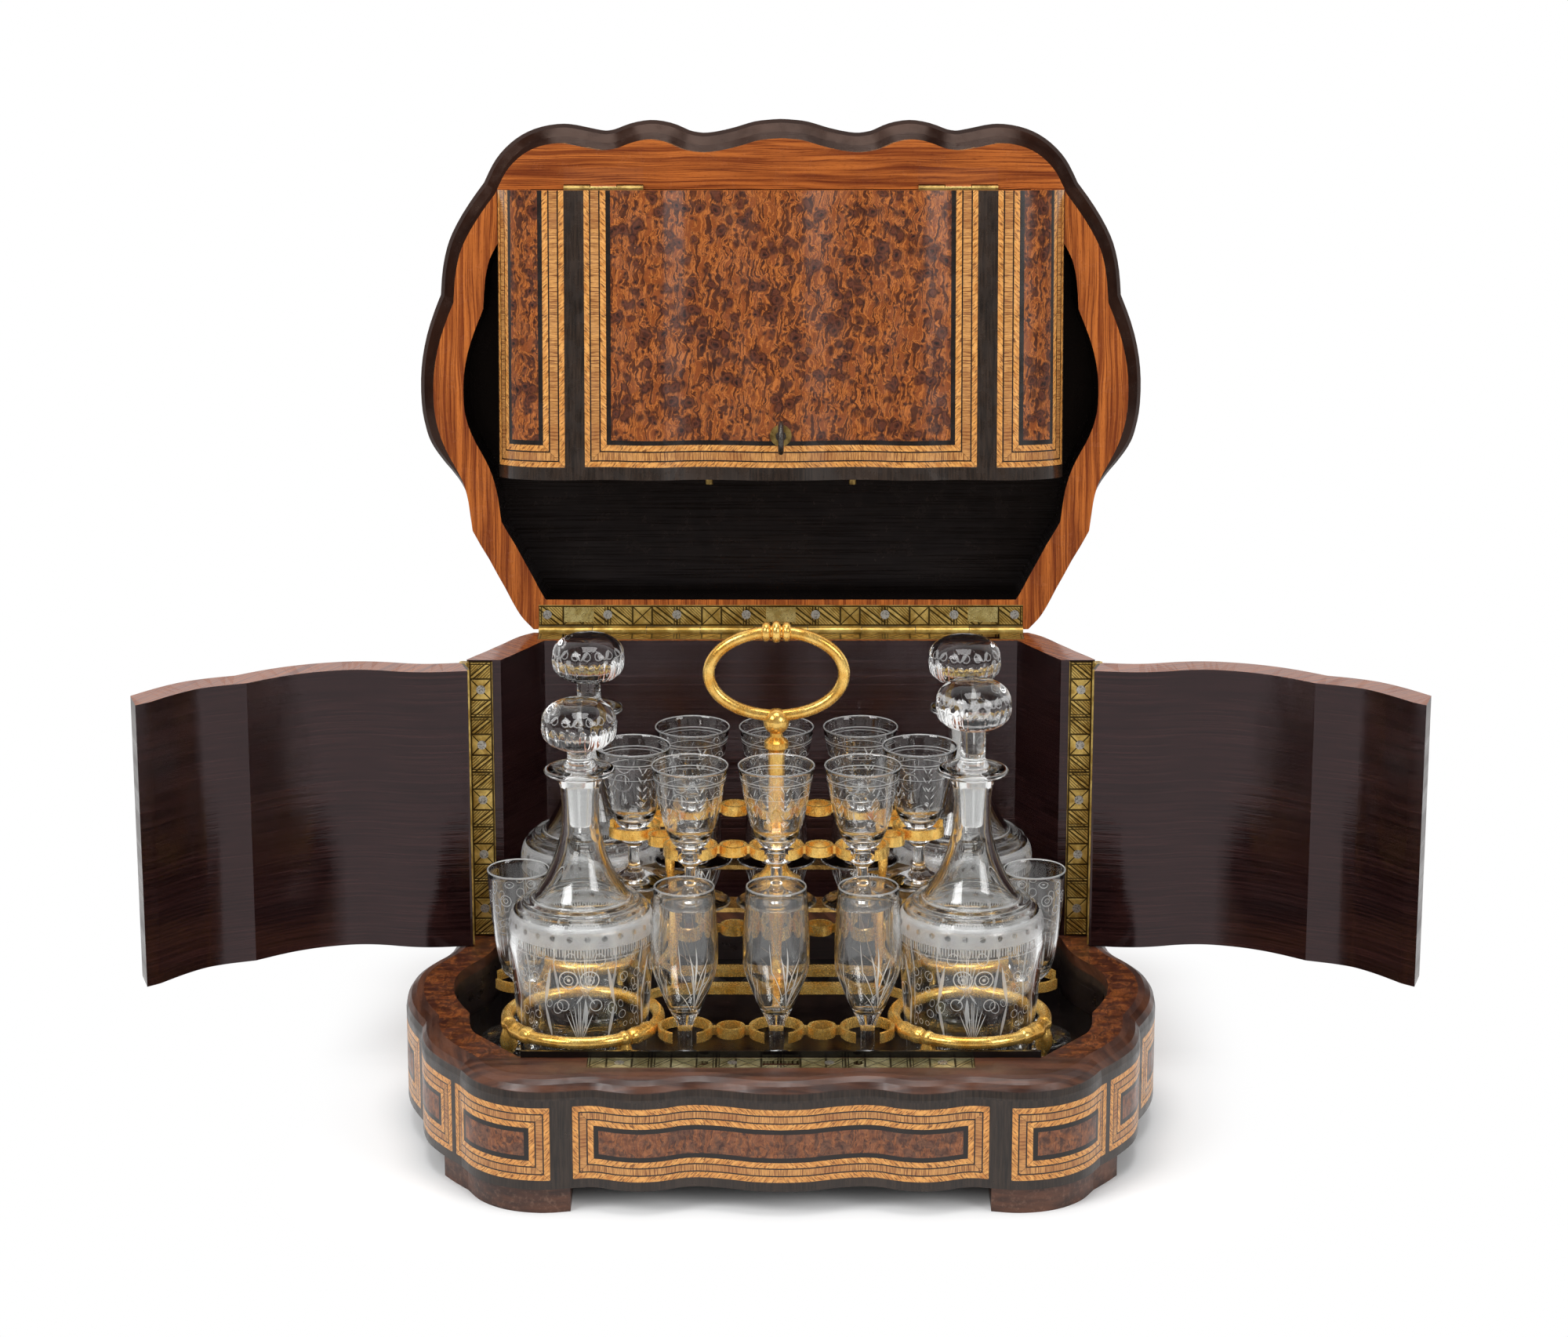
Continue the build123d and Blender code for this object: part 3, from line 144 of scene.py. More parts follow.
class Shade:
    """The nodes of a new material or world, built by calls."""

    def __init__(self, name, kind=bpy.data.materials):
        self.owner = kind.new(name)
        self.owner.use_nodes = True
        self.tree = self.owner.node_tree
        self.tree.nodes.clear()
        self.coords = self.tree.nodes.new("ShaderNodeTexCoord")

    def add(self, kind, **settings):
        node = self.tree.nodes.new(kind)
        for key, value in settings.items():
            setattr(node, key, value)
        return node

    def feed(self, socket, value):
        if isinstance(value, Num):
            self.tree.links.new(value.socket, socket)
        elif isinstance(value, bpy.types.NodeSocket):
            self.tree.links.new(value, socket)
        elif isinstance(value, tuple) and socket.type == "VECTOR":
            self.tree.links.new(self.vector(*value), socket)
        elif isinstance(value, tuple) and socket.type == "RGBA":
            socket.default_value = (*value, 1.0)
        else:
            socket.default_value = value

    def split(self, vector):
        node = self.add("ShaderNodeSeparateXYZ")
        self.feed(node.inputs[0], vector)
        return [Num(o) for o in node.outputs]

    def vector(self, x, y, z=0.0):
        node = self.add("ShaderNodeCombineXYZ")
        for socket, value in zip(node.inputs, (x, y, z)):
            self.feed(socket, value)
        return node.outputs[0]

    def noise(self, vector, scale, detail=2.0, roughness=0.5, distortion=0.0):
        node = self.add("ShaderNodeTexNoise")
        for key, value in (("Vector", vector), ("Scale", scale), ("Detail", detail),
                           ("Roughness", roughness), ("Distortion", distortion)):
            self.feed(node.inputs[key], value)
        return Num(node.outputs[0])

    def cells(self, vector, scale):
        node = self.add("ShaderNodeTexVoronoi")
        self.feed(node.inputs["Vector"], vector)
        self.feed(node.inputs["Scale"], scale)
        return Num(node.outputs["Distance"])

    def fade(self, value, low, high):
        """0 at low, 1 at high, smooth between."""
        node = self.add("ShaderNodeMapRange", interpolation_type="SMOOTHSTEP")
        for key, item in (("Value", value), ("From Min", low), ("From Max", high)):
            self.feed(node.inputs[key], item)
        return Num(node.outputs[0])

    def mix(self, share, a, b):
        node = self.add("ShaderNodeMix", data_type="RGBA")
        self.feed(node.inputs[0], share)
        self.feed(node.inputs[6], a)
        self.feed(node.inputs[7], b)
        return node.outputs[2]

    def pick(self, share, a, b):
        """Number a where share is 0, b where it is 1."""
        return a + (b - a) * share

    def span(self, value, low, high, a, b):
        """Number that goes from a to b as the value goes from low to high."""
        return self.pick(self.fade(value, low, high), a, b)

    def blend(self, value, low, high, a, b):
        """Colour that goes from a to b as the value goes from low to high."""
        return self.mix(self.fade(value, low, high), a, b)

    def stain(self, value, low, high, strength, colour, shade):
        """The colour, stained with the shade as the value goes from low to high."""
        return self.mix(self.fade(value, low, high) * strength, colour, shade)

    def curve(self, value, points, reach):
        """A number read off a line through (value, result) points, both from 0 to reach."""
        node = self.add("ShaderNodeFloatCurve")
        line = node.mapping.curves[0]
        line.points[0].location = (points[0][0] / reach, points[0][1] / reach)
        line.points[1].location = (points[-1][0] / reach, points[-1][1] / reach)
        for x, y in points[1:-1]:
            line.points.new(x / reach, y / reach)
        for point in line.points:
            point.handle_type = "VECTOR"
        node.mapping.update()
        self.feed(node.inputs["Value"], value / reach)
        return Num(node.outputs[0]) * reach

    def place(self, turns=()):
        """Coordinates in mm and the normal, turned back to the piece's closed place."""
        spot = [v * (1.0 / MM) for v in self.split(self.coords.outputs["Object"])]
        face = self.split(self.coords.outputs["Normal"])
        for axis, centre, degrees in turns:
            c, d = math.cos(math.radians(degrees)), math.sin(math.radians(degrees))
            i, j = (1, 2) if axis == "x" else (0, 1)
            a, b = spot[i] - centre[0], spot[j] - centre[1]
            spot[i], spot[j] = a * c - b * d + centre[0], a * d + b * c + centre[1]
            a, b = face[i], face[j]
            face[i], face[j] = a * c - b * d, a * d + b * c
        return spot, face

    def surface(self, colour, roughness, bump=None, bump_mm=0.05, glass=False, **sockets):
        shader = self.add("ShaderNodeBsdfPrincipled")
        self.feed(shader.inputs["Base Color"], colour)
        self.feed(shader.inputs["Roughness"], roughness)
        for key, value in sockets.items():
            self.feed(shader.inputs[key.replace("_", " ").title().replace("Ior", "IOR")], value)
        if bump is not None:
            node = self.add("ShaderNodeBump")
            self.feed(node.inputs["Strength"], 1.0)
            self.feed(node.inputs["Distance"], bump_mm * MM)
            self.feed(node.inputs["Height"], bump)
            self.feed(shader.inputs["Normal"], node.outputs[0])
        if not glass:
            return self.finish(shader)
        shadow = self.add("ShaderNodeLightPath").outputs["Is Shadow Ray"]
        return self.finish(self.either(shadow, shader, self.add("ShaderNodeBsdfTransparent")))

    def either(self, share, a, b):
        """Shader a where share is 0, b where it is 1."""
        node = self.add("ShaderNodeMixShader")
        for socket, value in zip(node.inputs, (share, a.outputs[0], b.outputs[0])):
            self.feed(socket, value)
        return node

    def finish(self, shader, kind="ShaderNodeOutputMaterial"):
        self.feed(self.add(kind).inputs[0], shader.outputs[0])
        return self.owner


# The plan's run: the length round the outline from the middle of the front

def smooth(points, steps=6):
    """Points on a centripetal Catmull-Rom curve through the given points."""
    first = (2 * points[0][0] - points[1][0], 2 * points[0][1] - points[1][1])
    last = (2 * points[-1][0] - points[-2][0], 2 * points[-1][1] - points[-2][1])
    ring = [first] + list(points) + [last]
    out = []
    for i in range(1, len(ring) - 2):
        a, b, c, d = ring[i - 1], ring[i], ring[i + 1], ring[i + 2]
        ta = 0.0
        tb = ta + math.sqrt(math.dist(a, b))
        tc = tb + math.sqrt(math.dist(b, c))
        td = tc + math.sqrt(math.dist(c, d))

        def mix(p, q, tp, tq, t):
            k = (t - tp) / (tq - tp)
            return (p[0] + (q[0] - p[0]) * k, p[1] + (q[1] - p[1]) * k)

        for j in range(steps):
            t = tb + (tc - tb) * j / steps
            ab, bc, cd = mix(a, b, ta, tb, t), mix(b, c, tb, tc, t), mix(c, d, tc, td, t)
            out.append(mix(mix(ab, bc, ta, tc, t), mix(bc, cd, tb, td, t), tb, tc, t))
    out.append(points[-1])
    return out


def plan_curve(shares, reach):
    """Curve of the plan, moved out by reach."""
    points = smooth([(x * half_width, back_face - d * wall_depth) for x, d in shares])
    out = []
    for i, (x, y) in enumerate(points):
        before, after = points[max(i - 1, 0)], points[min(i + 1, len(points) - 1)]
        dx, dy = after[0] - before[0], after[1] - before[1]
        size = math.hypot(dx, dy)
        out.append((x + dy / size * reach, y - dx / size * reach))
    return out


def lengths(points, start=0.0):
    out = [start]
    for a, b in zip(points, points[1:]):
        out.append(out[-1] + math.dist(a, b))
    return out


class Run:
    """Length round the outline at a reach, from the middle of the front."""

    def __init__(self, reach):
        self.front = plan_curve(front_shares, reach)
        self.front_run = lengths(self.front)
        self.side = plan_curve(side_shares, reach)
        self.side_run = lengths(self.side, self.front_run[-1])
        self.crease_y = self.front[-1][1]

    def at_x(self, x):
        return next(r for (px, _), r in zip(self.front, self.front_run) if px >= x)

    def at_depth(self, share):
        y = back_face - share * wall_depth
        return next(r for (_, py), r in zip(self.side, self.side_run) if py >= y)

    def ends(self):
        """The run at the two creases, at the wall's return and at the back."""
        return (*map(self.at_depth, crease_shares), self.side_run[-1])

    def panels(self, middle, beside, gap, back_gap=2.0):
        """Panels all round, from half the middle one, the next one's start in x and the creases' gaps."""
        first, second, third, last = self.ends()
        return [(-self.at_x(middle), self.at_x(middle)), (self.at_x(beside), first - gap),
                (first + gap, second - gap), (second + gap, third - back_gap),
                (third + back_gap, last - back_gap)]

    def field(self, s, x, y):
        """The run over a surface, from its plan coordinates."""
        ahead = s.curve(abs(x), [(p[0], r) for p, r in zip(self.front, self.front_run)][::3], curve_reach)
        low_y = self.side[0][1]
        steps = [(p[1] - low_y, r) for p, r in zip(self.side, self.side_run)][::4]
        beside = s.curve(y - low_y, steps, curve_reach)
        return s.pick(y < self.crease_y, beside, ahead)


curve_reach = 400.0
wall_run = Run(0.0)
plinth_run = Run(plinth_overhang)


# Woods: u runs along the surface and v up it, in mm

def burl(s, u, v):
    """Thuya burl: clusters of soft dark eyes with the figure flowing between them."""
    p = s.vector(u, v)
    u1 = u + (s.noise(p, 0.16) - 0.5) * 5.0
    v1 = v + (s.noise((u, v, 40.0), 0.16) - 0.5) * 5.0
    fine = s.noise((u1 * 2.2, v1 * 1.2, 3.0), 1.0, 4.0, 0.7)
    rough = (fine - 0.5) * 0.22
    cluster = s.noise(p, 0.045)
    size = s.fade(cluster, 0.36, 0.54) * 0.40 + 0.06
    cell = s.cells((u1, v1, 0.0), 0.165) + rough
    eye = s.fade(cell, size + 0.16, size - 0.10)
    ring = s.fade(abs(cell - size * 0.62), 0.10, 0.02)
    core = s.fade(cell, 0.15, 0.06)
    small = s.cells((u1, v1, 30.0), 0.33) + rough
    spread = s.fade(s.noise((u, v, 70.0), 0.07), 0.40, 0.52)
    dot = s.fade(small, 0.42, 0.22) * spread
    pip = s.fade(small, 0.16, 0.08) * spread
    bend = cell * 1.6
    flow = s.noise((u1 * 0.60 + bend, v1 * 0.12 + bend, 9.0), 0.9, 5.0, 0.60, 0.6)
    thread = s.fade(abs(flow - 0.5), 0.05, 0.006)
    colour = s.blend(flow, 0.34, 0.66, srgb(72, 34, 15), srgb(132, 67, 26))
    colour = s.stain(fine, 0.48, 0.70, 0.35, colour, srgb(58, 28, 14))
    colour = s.mix(thread * 0.7, colour, srgb(192, 112, 48))
    colour = s.mix(dot * 0.80, colour, srgb(58, 27, 17))
    colour = s.mix(pip * 0.8, colour, srgb(26, 12, 10))
    colour = s.mix(eye * 0.88, colour, srgb(48, 21, 15))
    colour = s.mix(ring * eye * 0.45, colour, srgb(112, 58, 36))
    return s.mix(core * eye * 0.85, colour, srgb(20, 9, 9))


def light_wood(s, d, t):
    """Satinwood band with dark diagonal dashes; d across the band and t along it."""
    slant, lie = (t + d) * 0.7, (t - d) * 0.7
    dashes = s.noise((slant * 2.1, lie * 0.30, 2.0), 1.0)
    streak = s.noise((slant * 0.8, lie * 0.20, 8.0), 1.0, 3.0)
    tone = s.noise((t, d, 5.0), 0.05)
    colour = s.blend(streak, 0.3, 0.7, srgb(176, 112, 50), srgb(224, 164, 90))
    colour = s.stain(tone, 0.35, 0.7, 0.5, colour, srgb(208, 140, 68))
    return s.stain(dashes, 0.53, 0.61, 0.80, colour, srgb(88, 46, 22))


def cross_wood(s, d, t):
    """Brown band with its grain across."""
    grain = s.noise((t * 2.4, d * 0.12, 4.0), 1.0, 3.0, 0.6)
    tone = s.noise((t, 0.0, 4.0), 0.07)
    colour = s.blend(grain, 0.36, 0.60, srgb(112, 66, 34), srgb(204, 148, 84))
    colour = s.stain(tone, 0.4, 0.75, 0.5, colour, srgb(140, 82, 42))
    return s.stain(grain, 0.60, 0.68, 0.6, colour, srgb(70, 38, 20))


def ebony(s, u, v):
    grain = s.noise((u, v * 0.06, 6.0), 1.1, 5.0, 0.6)
    tone = s.noise((u, v, 6.0), 0.04, 3.0)
    colour = s.blend(grain, 0.3, 0.75, srgb(26, 18, 13), srgb(54, 41, 32))
    return s.stain(tone, 0.45, 0.8, 0.5, colour, srgb(62, 49, 41))


def rosewood(s, along, across, depth=0.0):
    """Bright orange veneer with dark red streaks along the grain."""
    sway = (s.noise((along * 0.3, across, depth), 0.05) - 0.5) * 6.0
    a = across + sway
    broad = s.noise((along * 0.012, a * 0.42, depth), 1.0, 3.0, 0.55)
    streak = s.noise((along * 0.02, a * 1.7, depth), 1.0, 5.0, 0.65)
    pores = s.noise((along * 0.35, a * 4.5, depth), 1.0)
    colour = s.blend(broad, 0.34, 0.62, srgb(116, 56, 26), srgb(174, 98, 44))
    colour = s.stain(streak, 0.50, 0.60, 0.8, colour, srgb(88, 36, 20))
    colour = s.stain(streak, 0.42, 0.28, 0.5, colour, srgb(192, 116, 54))
    return s.stain(pores, 0.60, 0.70, 0.55, colour, srgb(62, 26, 14)), streak


def mahogany(s, along, across, depth=0.0):
    broad = s.noise((along * 0.02, across * 0.16, depth), 1.0, 4.0, 0.6)
    pores = s.noise((along * 0.30, across * 2.6, depth), 1.0, 3.0)
    colour = s.blend(broad, 0.32, 0.68, srgb(48, 25, 16), srgb(94, 56, 37))
    return s.stain(pores, 0.58, 0.72, 0.55, colour, srgb(34, 16, 11))


def dark_gloss(s, along, across, low, high):
    """Dark stained wood under polish, with its fine grain showing."""
    grain = s.noise((along * 0.015, across, 0.0), 1.0, 6.0, 0.7)
    tone = s.noise((along * 0.02, across * 0.05, 7.0), 1.0, 3.0)
    colour = s.blend(grain, 0.35, 0.72, low, high)
    return s.stain(tone, 0.4, 0.7, 0.4, colour, low), grain


# Marquetry: framed panels of burl in ebony

FLAP_BANDS = (2.5, 0.65, 3.7, 0.65, 2.7, 2.2)
PLINTH_BANDS = (2.6, 0.6, 2.8, 0.6, 2.5, 2.2)
LID_BANDS = (2.0, 0.3, 2.2, 0.3, 2.0, 1.2)
LID_TOP_BANDS = (6.0, 2.9, 0.35, 3.8, 0.35, 2.9, 1.9)

# Half the front's middle panel and the start of the next; lower and upper ends of the panels
wall_middle, wall_beside, flap_end = 89.7, 98.3, 131.0
plinth_middle, plinth_beside = 88.5, 98.0
wall_low, wall_high = 6.0, 128.0
plinth_low, plinth_high = 4.2, 37.6
lid_low, lid_high = 3.0, 30.0


def banded(s, d, t, colour, bands, *outer):
    """Bands laid over a colour from its edge inwards; d is the distance from the edge and t runs along it."""
    line = srgb(26, 18, 14)
    looks = (*outer, light_wood(s, d, t), line, cross_wood(s, d, t), line, light_wood(s, d, t + 50.0), line)
    reach = sum(bands)
    for width, look in reversed(list(zip(bands, looks))):
        colour = s.mix(d < reach, colour, look)
        reach -= width
    return colour


def marquetry(s, u, v, panels, bottom, top, bands, turn=None):
    """Veneered surface: panels are (start, end) along u, framed by bands that follow their edges.
    Where turn is 1 the burl is taken from another part of the figure."""
    side = None
    for start, end in panels:
        distance = (end - start) / 2 - abs(u - (start + end) / 2)
        side = distance if side is None else side.high(distance)
    level = (v - bottom) if top is None else (v - bottom).low(top - v)
    d = side.low(level)
    upright = side < level
    t = s.pick(upright, u, v)
    colour = banded(s, d, t, burl(s, u if turn is None else s.pick(turn, u, u * -1.0), v), bands)
    mitre = s.fade(abs(side - level), 0.22, 0.10) * (d > 0.0) * (d < sum(bands[:5]))
    colour = s.mix(mitre * 0.7, colour, srgb(60, 34, 18))
    colour = s.mix(d < 0.0, colour, ebony(s, u, v))
    seam = s.fade(abs(d), 0.14, 0.05)
    return colour, seam, d


def outward(x, y, nx, ny):
    """1 where a wall's face looks out of the case."""
    return (nx * x + ny * (y - case_middle_y)) > 0.0


def wear(s, x, y, z):
    return s.noise((x, y, z), 0.12, 4.0, 0.6)


def flap_material():
    s = Shade("flap")
    (x, y, z), (_, ny, nz) = s.place(FLAP_TURNS)
    middle, beside, end = [wall_run.at_x(place) for place in (wall_middle, wall_beside, flap_end)]
    panels = [(-middle, middle), (beside, end + 1.0)]
    u = wall_run.field(s, x, y)
    outside, seam, _ = marquetry(s, u, z - flap_bottom, panels, wall_low, None, FLAP_BANDS, x < 0.0)
    edge, _ = rosewood(s, x, y)
    inside, _ = dark_gloss(s, x, z, srgb(12, 8, 8), srgb(34, 26, 25))
    colour = s.mix(ny < -0.25, inside, outside)
    colour = s.mix(abs(nz) > 0.7, colour, edge)
    worn = wear(s, x, y, z)
    return s.surface(colour, s.span(worn, 0.3, 0.7, 0.20, 0.34), seam * -1.0 + worn * 0.25, 0.06)


def plinth_material():
    s = Shade("plinth_marquetry")
    (x, y, z), (nx, ny, _) = s.place()
    u = plinth_run.field(s, x, y)
    panels = plinth_run.panels(plinth_middle, plinth_beside, 1.6)
    outside, seam, depth = marquetry(s, u, z - foot_height, panels, plinth_low, plinth_high, PLINTH_BANDS,
                                     x < 0.0)
    mottle = s.noise((u, z, 60.0), 0.30, 4.0, 0.7, 1.0)
    aged = s.blend(mottle, 0.38, 0.62, srgb(58, 34, 25), srgb(122, 82, 58))
    outside = s.mix((depth > sum(PLINTH_BANDS)) * 0.55, outside, aged)
    colour = s.mix(y > back_face - 1.0, outside, mahogany(s, x, z))
    inside, _ = dark_gloss(s, x, z, srgb(14, 9, 8), srgb(40, 28, 26))
    colour = s.mix(outward(x, y, nx, ny), inside, colour)
    worn = wear(s, x, y, z)
    scuff = s.fade(s.noise((x, y, z), 0.5, 5.0, 0.7), 0.66, 0.74) * s.fade(z, 40.0, 14.0)
    colour = s.mix(scuff * 0.5, colour, srgb(150, 132, 118))
    return s.surface(colour, s.span(worn, 0.3, 0.7, 0.26, 0.42), seam * -1.0 + worn * 0.4, 0.08)


def rim_material():
    s = Shade("plinth_rim")
    (x, y, z), (_, _, nz) = s.place()
    red = mahogany(s, x, y + z)
    side_wood = mahogany(s, y, x + z)
    figured = burl(s, x, y)
    flame = s.noise((x * 0.06, y * 0.16, 2.0), 1.0, 6.0, 0.65, 1.5)
    figured = s.mix(0.45, figured, srgb(76, 38, 22))
    figured = s.stain(flame, 0.4, 0.62, 0.8, figured, srgb(40, 17, 11))
    figured = s.stain(flame, 0.40, 0.26, 0.6, figured, srgb(134, 72, 34))
    level = nz > 0.985
    sides = s.fade(y, flap_y - 1.0, flap_y + 1.0)
    top = s.mix(sides, red, figured)
    colour = s.mix(level, s.mix(sides, red, side_wood), top)
    worn = wear(s, x, y, z)
    dull = s.noise((x, y, z), 0.9, 4.0, 0.7)
    colour = s.stain(dull, 0.62, 0.76, 0.15, colour, srgb(130, 90, 66))
    ebony_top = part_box("plinth_rim")[0][2] / MM + 4.4
    colour = s.blend(z, ebony_top, ebony_top - 1.0, colour, ebony(s, x, z))
    return s.surface(colour, s.span(worn, 0.35, 0.65, 0.32, 0.46), worn * 0.4 + dull * 0.2, 0.06)


def feet_material():
    s = Shade("feet")
    (x, y, z), _ = s.place()
    colour = mahogany(s, x, z, y * 0.1)
    dust = s.noise((x, y, z), 0.45, 5.0, 0.65)
    colour = s.stain(dust, 0.50, 0.72, 0.35, colour, srgb(142, 108, 88))
    return s.surface(colour, 0.42, dust, 0.10)


def wall_material(name, turns):
    """Back wall, returns and doors: veneer outside, dark polish inside, bright edges."""
    s = Shade(name)
    (x, y, z), (nx, ny, nz) = s.place(turns)
    u = wall_run.field(s, x, y)
    first, second, third, last = wall_run.ends()
    pillar = wall_run.at_depth(pillar_share)
    gap, hinge_gap, pillar_gap, back_gap = 1.4, 1.5, 3.0, 2.0
    panels = [(first + gap, second - gap), (second + gap, pillar - hinge_gap),
              (third + pillar_gap, last - back_gap)]
    outside, seam, _ = marquetry(s, u, z - flap_bottom, panels, wall_low, wall_high, FLAP_BANDS)
    outside = s.mix(y > back_face - 0.5, outside, mahogany(s, x, z))
    inside, grain = dark_gloss(s, u, z, srgb(11, 4, 5), srgb(46, 25, 24))
    out = outward(x, y, nx, ny)
    colour = s.mix(out, inside, outside)
    edge, _ = rosewood(s, u, y + x)
    edge = s.mix(0.45, edge, srgb(92, 50, 36))
    colour = s.mix(abs(nz) > 0.7, colour, edge)
    worn = s.noise((u, z, 0.0), 0.10, 4.0, 0.6)
    rough = s.pick(out, s.span(worn, 0.3, 0.7, 0.08, 0.15), s.span(worn, 0.3, 0.7, 0.22, 0.36))
    ripple = s.noise((u * 0.03, z * 0.35, 2.0), 1.0, 4.0, 0.6)
    return s.surface(colour, rough, grain * 0.5 + ripple * 1.6 + seam * out * -1.0, 0.06,
                     specular_ior_level=0.48, specular_tint=(1.0, 0.80, 0.82))


def lid_material():
    s = Shade("lid")
    (x, y, z), (nx, ny, _) = s.place(LID_TURNS)
    front = y < flap_y
    along = s.pick(front, y, x)
    across = s.pick(front, abs(x), y)
    rim, streak = rosewood(s, along, across)
    inside, grain = dark_gloss(s, x, y, srgb(3, 2, 2), srgb(10, 7, 7))
    # Painted reflection: a pale grey sheen over a band of the lid's inside near its hinge, broken up by the
    # grain
    painted_reflection = s.fade(y, -30.0, 20.0) * s.fade(y, 60.0, 52.0)
    inside = s.mix(painted_reflection * s.fade(grain, 0.30, 0.62), inside, srgb(30, 28, 29))
    moulding = s.mix(0.85, mahogany(s, along, z), srgb(20, 9, 7))
    u = wall_run.field(s, x, y)
    panels = wall_run.panels(wall_middle, wall_beside, 1.5)
    walls, _, _ = marquetry(s, u, z - lid_base, panels, lid_low, lid_high, LID_BANDS)
    walls = s.mix(y > back_face - 0.5, walls, mahogany(s, x, z))
    moulding_low, under_top, edge = lid_base + lid_wall - 5.2, lid_base + 43.0, 0.6
    outer = s.mix(z > moulding_low, walls, moulding)
    colour = s.mix(outward(x, y, nx, ny), inside, outer)
    colour = s.mix((z < under_top + 1.0) * (z > under_top - 1.0), colour, inside)
    colour = s.mix(z < lid_base + edge, colour, rim)
    colour = s.mix(z > lid_base + lid_height - edge, colour, moulding)
    worn = wear(s, x, y, z)
    return s.surface(colour, s.span(worn, 0.3, 0.7, 0.12, 0.30), streak * 0.4 + grain * 0.3, 0.05,
                     specular_ior_level=0.26, specular_tint=(1.0, 0.72, 0.60))


def lid_top_material():
    """The lid's top: a burl field in bands that follow the outline."""
    s = Shade("lid_top")
    (x, y, z), _ = s.place(LID_TURNS)
    ahead = y + s.curve(abs(x), [(a, -b) for a, b in wall_run.front][::3], curve_reach)
    low_y = wall_run.side[0][1]
    beside = s.curve(y - low_y, [(b - low_y, a) for a, b in wall_run.side][::4], curve_reach) - abs(x)
    d = ahead.low(beside).low(back_face - y)
    t = s.pick(ahead < beside, y, x)
    colour = banded(s, d, t, burl(s, x, y), LID_TOP_BANDS, ebony(s, x, y))
    worn = wear(s, x, y, z)
    return s.surface(colour, s.span(worn, 0.3, 0.7, 0.18, 0.30), worn, 0.05)


def tray_material():
    s = Shade("tray")
    (x, y, z), _ = s.place()
    p = s.vector(x, y, z)
    dust = s.noise(p, 1.6, 4.0, 0.7)
    haze = s.noise(p, 0.05, 3.0)
    colour = s.stain(dust, 0.68, 0.76, 0.5, srgb(9, 7, 7), srgb(70, 62, 56))
    colour = s.stain(haze, 0.4, 0.7, 0.3, colour, srgb(26, 20, 18))
    return s.surface(colour, s.span(haze, 0.35, 0.7, 0.10, 0.26), haze, 0.05)


# Metals

def engraved(s, a, b, width, period, first):
    """Engraved strap work: a runs along the leaf and b across it, in mm."""
    c = (a - first).wrapped(period)
    m = b - width / 2
    square = width * 0.46
    gap = period / 2 - square

    def line(distance, thick):
        return s.fade(abs(distance), thick * 1.3, thick * 0.5)

    rims = line(abs(m) - width * 0.44, 0.38)
    bars = most(line(abs(c) - square, 0.46), line(abs(c) - period / 2, 0.50),
                line(abs(c) - period / 2 + 1.3, 0.28))
    out = abs(c) - square
    rise = s.pick(c > 0.0, gap - out, out)
    slant = (m - (rise / gap - 0.5) * width * 0.9) * 0.8
    between = abs(c) > square
    diagonal = line(abs(slant) - 1.05, 0.42) * between
    hatch = line((c * 0.9 - m * 0.9).wrapped(1.3), 0.28) * (abs(slant) > 1.3) * between * 0.65
    rays = line(abs(m) - abs(c) * 0.95, 0.40) * (abs(c) < square)
    cut = most(rims, bars, diagonal, rays, hatch)
    return cut * (abs(m) < width * 0.48)


OLD_BRASS = (srgb(164, 130, 60), srgb(222, 190, 110))
GREY_BRASS = (srgb(150, 138, 92), srgb(206, 196, 150))


def brass_material(name, lengthwise, turns, width, period, first, start, pale=OLD_BRASS):
    """Old engraved brass; lengthwise is the coordinate that runs along the leaf."""
    s = Shade(name)
    (x, y, z), _ = s.place(turns)
    if lengthwise == "z":
        a, b = z, start - abs(x)
    else:
        a, b = x, y - start
    cut = engraved(s, a, b, width, period, first)
    p = s.vector(x, y, z)
    patina = s.noise(p, 0.12, 5.0, 0.65)
    spots = s.noise(p, 0.9, 5.0, 0.7)
    colour = s.blend(patina, 0.35, 0.65, pale[0], pale[1])
    colour = s.stain(spots, 0.56, 0.72, 0.5, colour, srgb(104, 82, 40))
    colour = s.mix(cut * 0.95, colour, srgb(48, 36, 14))
    rough = s.span(spots, 0.4, 0.7, 0.28, 0.52)
    return s.surface(colour, rough, cut * -1.0 + spots * 0.25, 0.22, metallic=0.85)


def plain_brass_material(name, pale, dark, rough):
    s = Shade(name)
    (x, y, z), _ = s.place()
    p = s.vector(x, y, z)
    patina = s.noise(p, 0.2, 5.0, 0.65)
    spots = s.noise(p, 1.4, 4.0, 0.7)
    colour = s.blend(patina, 0.35, 0.65, dark, pale)
    colour = s.stain(spots, 0.60, 0.72, 0.6, colour, srgb(70, 52, 26))
    return s.surface(colour, s.span(spots, 0.4, 0.7, rough, rough + 0.2), spots, 0.08, metallic=1.0)


def flap_hinge_material():
    """The flap's hinge leaves are let into the rim under its veneer; the barrels show."""
    s = Shade("flap_hinge")
    (x, y, z), _ = s.place(LID_TURNS)
    wood, streak = rosewood(s, x, y)
    spots = s.noise((x, y, z), 1.4, 4.0, 0.7)
    brass = s.blend(spots, 0.4, 0.7, srgb(186, 160, 96), srgb(96, 74, 40))
    barrel = y > flap_y - 1.3
    return s.surface(s.mix(barrel, wood, brass), s.pick(barrel, 0.2, 0.36), streak * 0.4, 0.05,
                     metallic=barrel * 0.85)


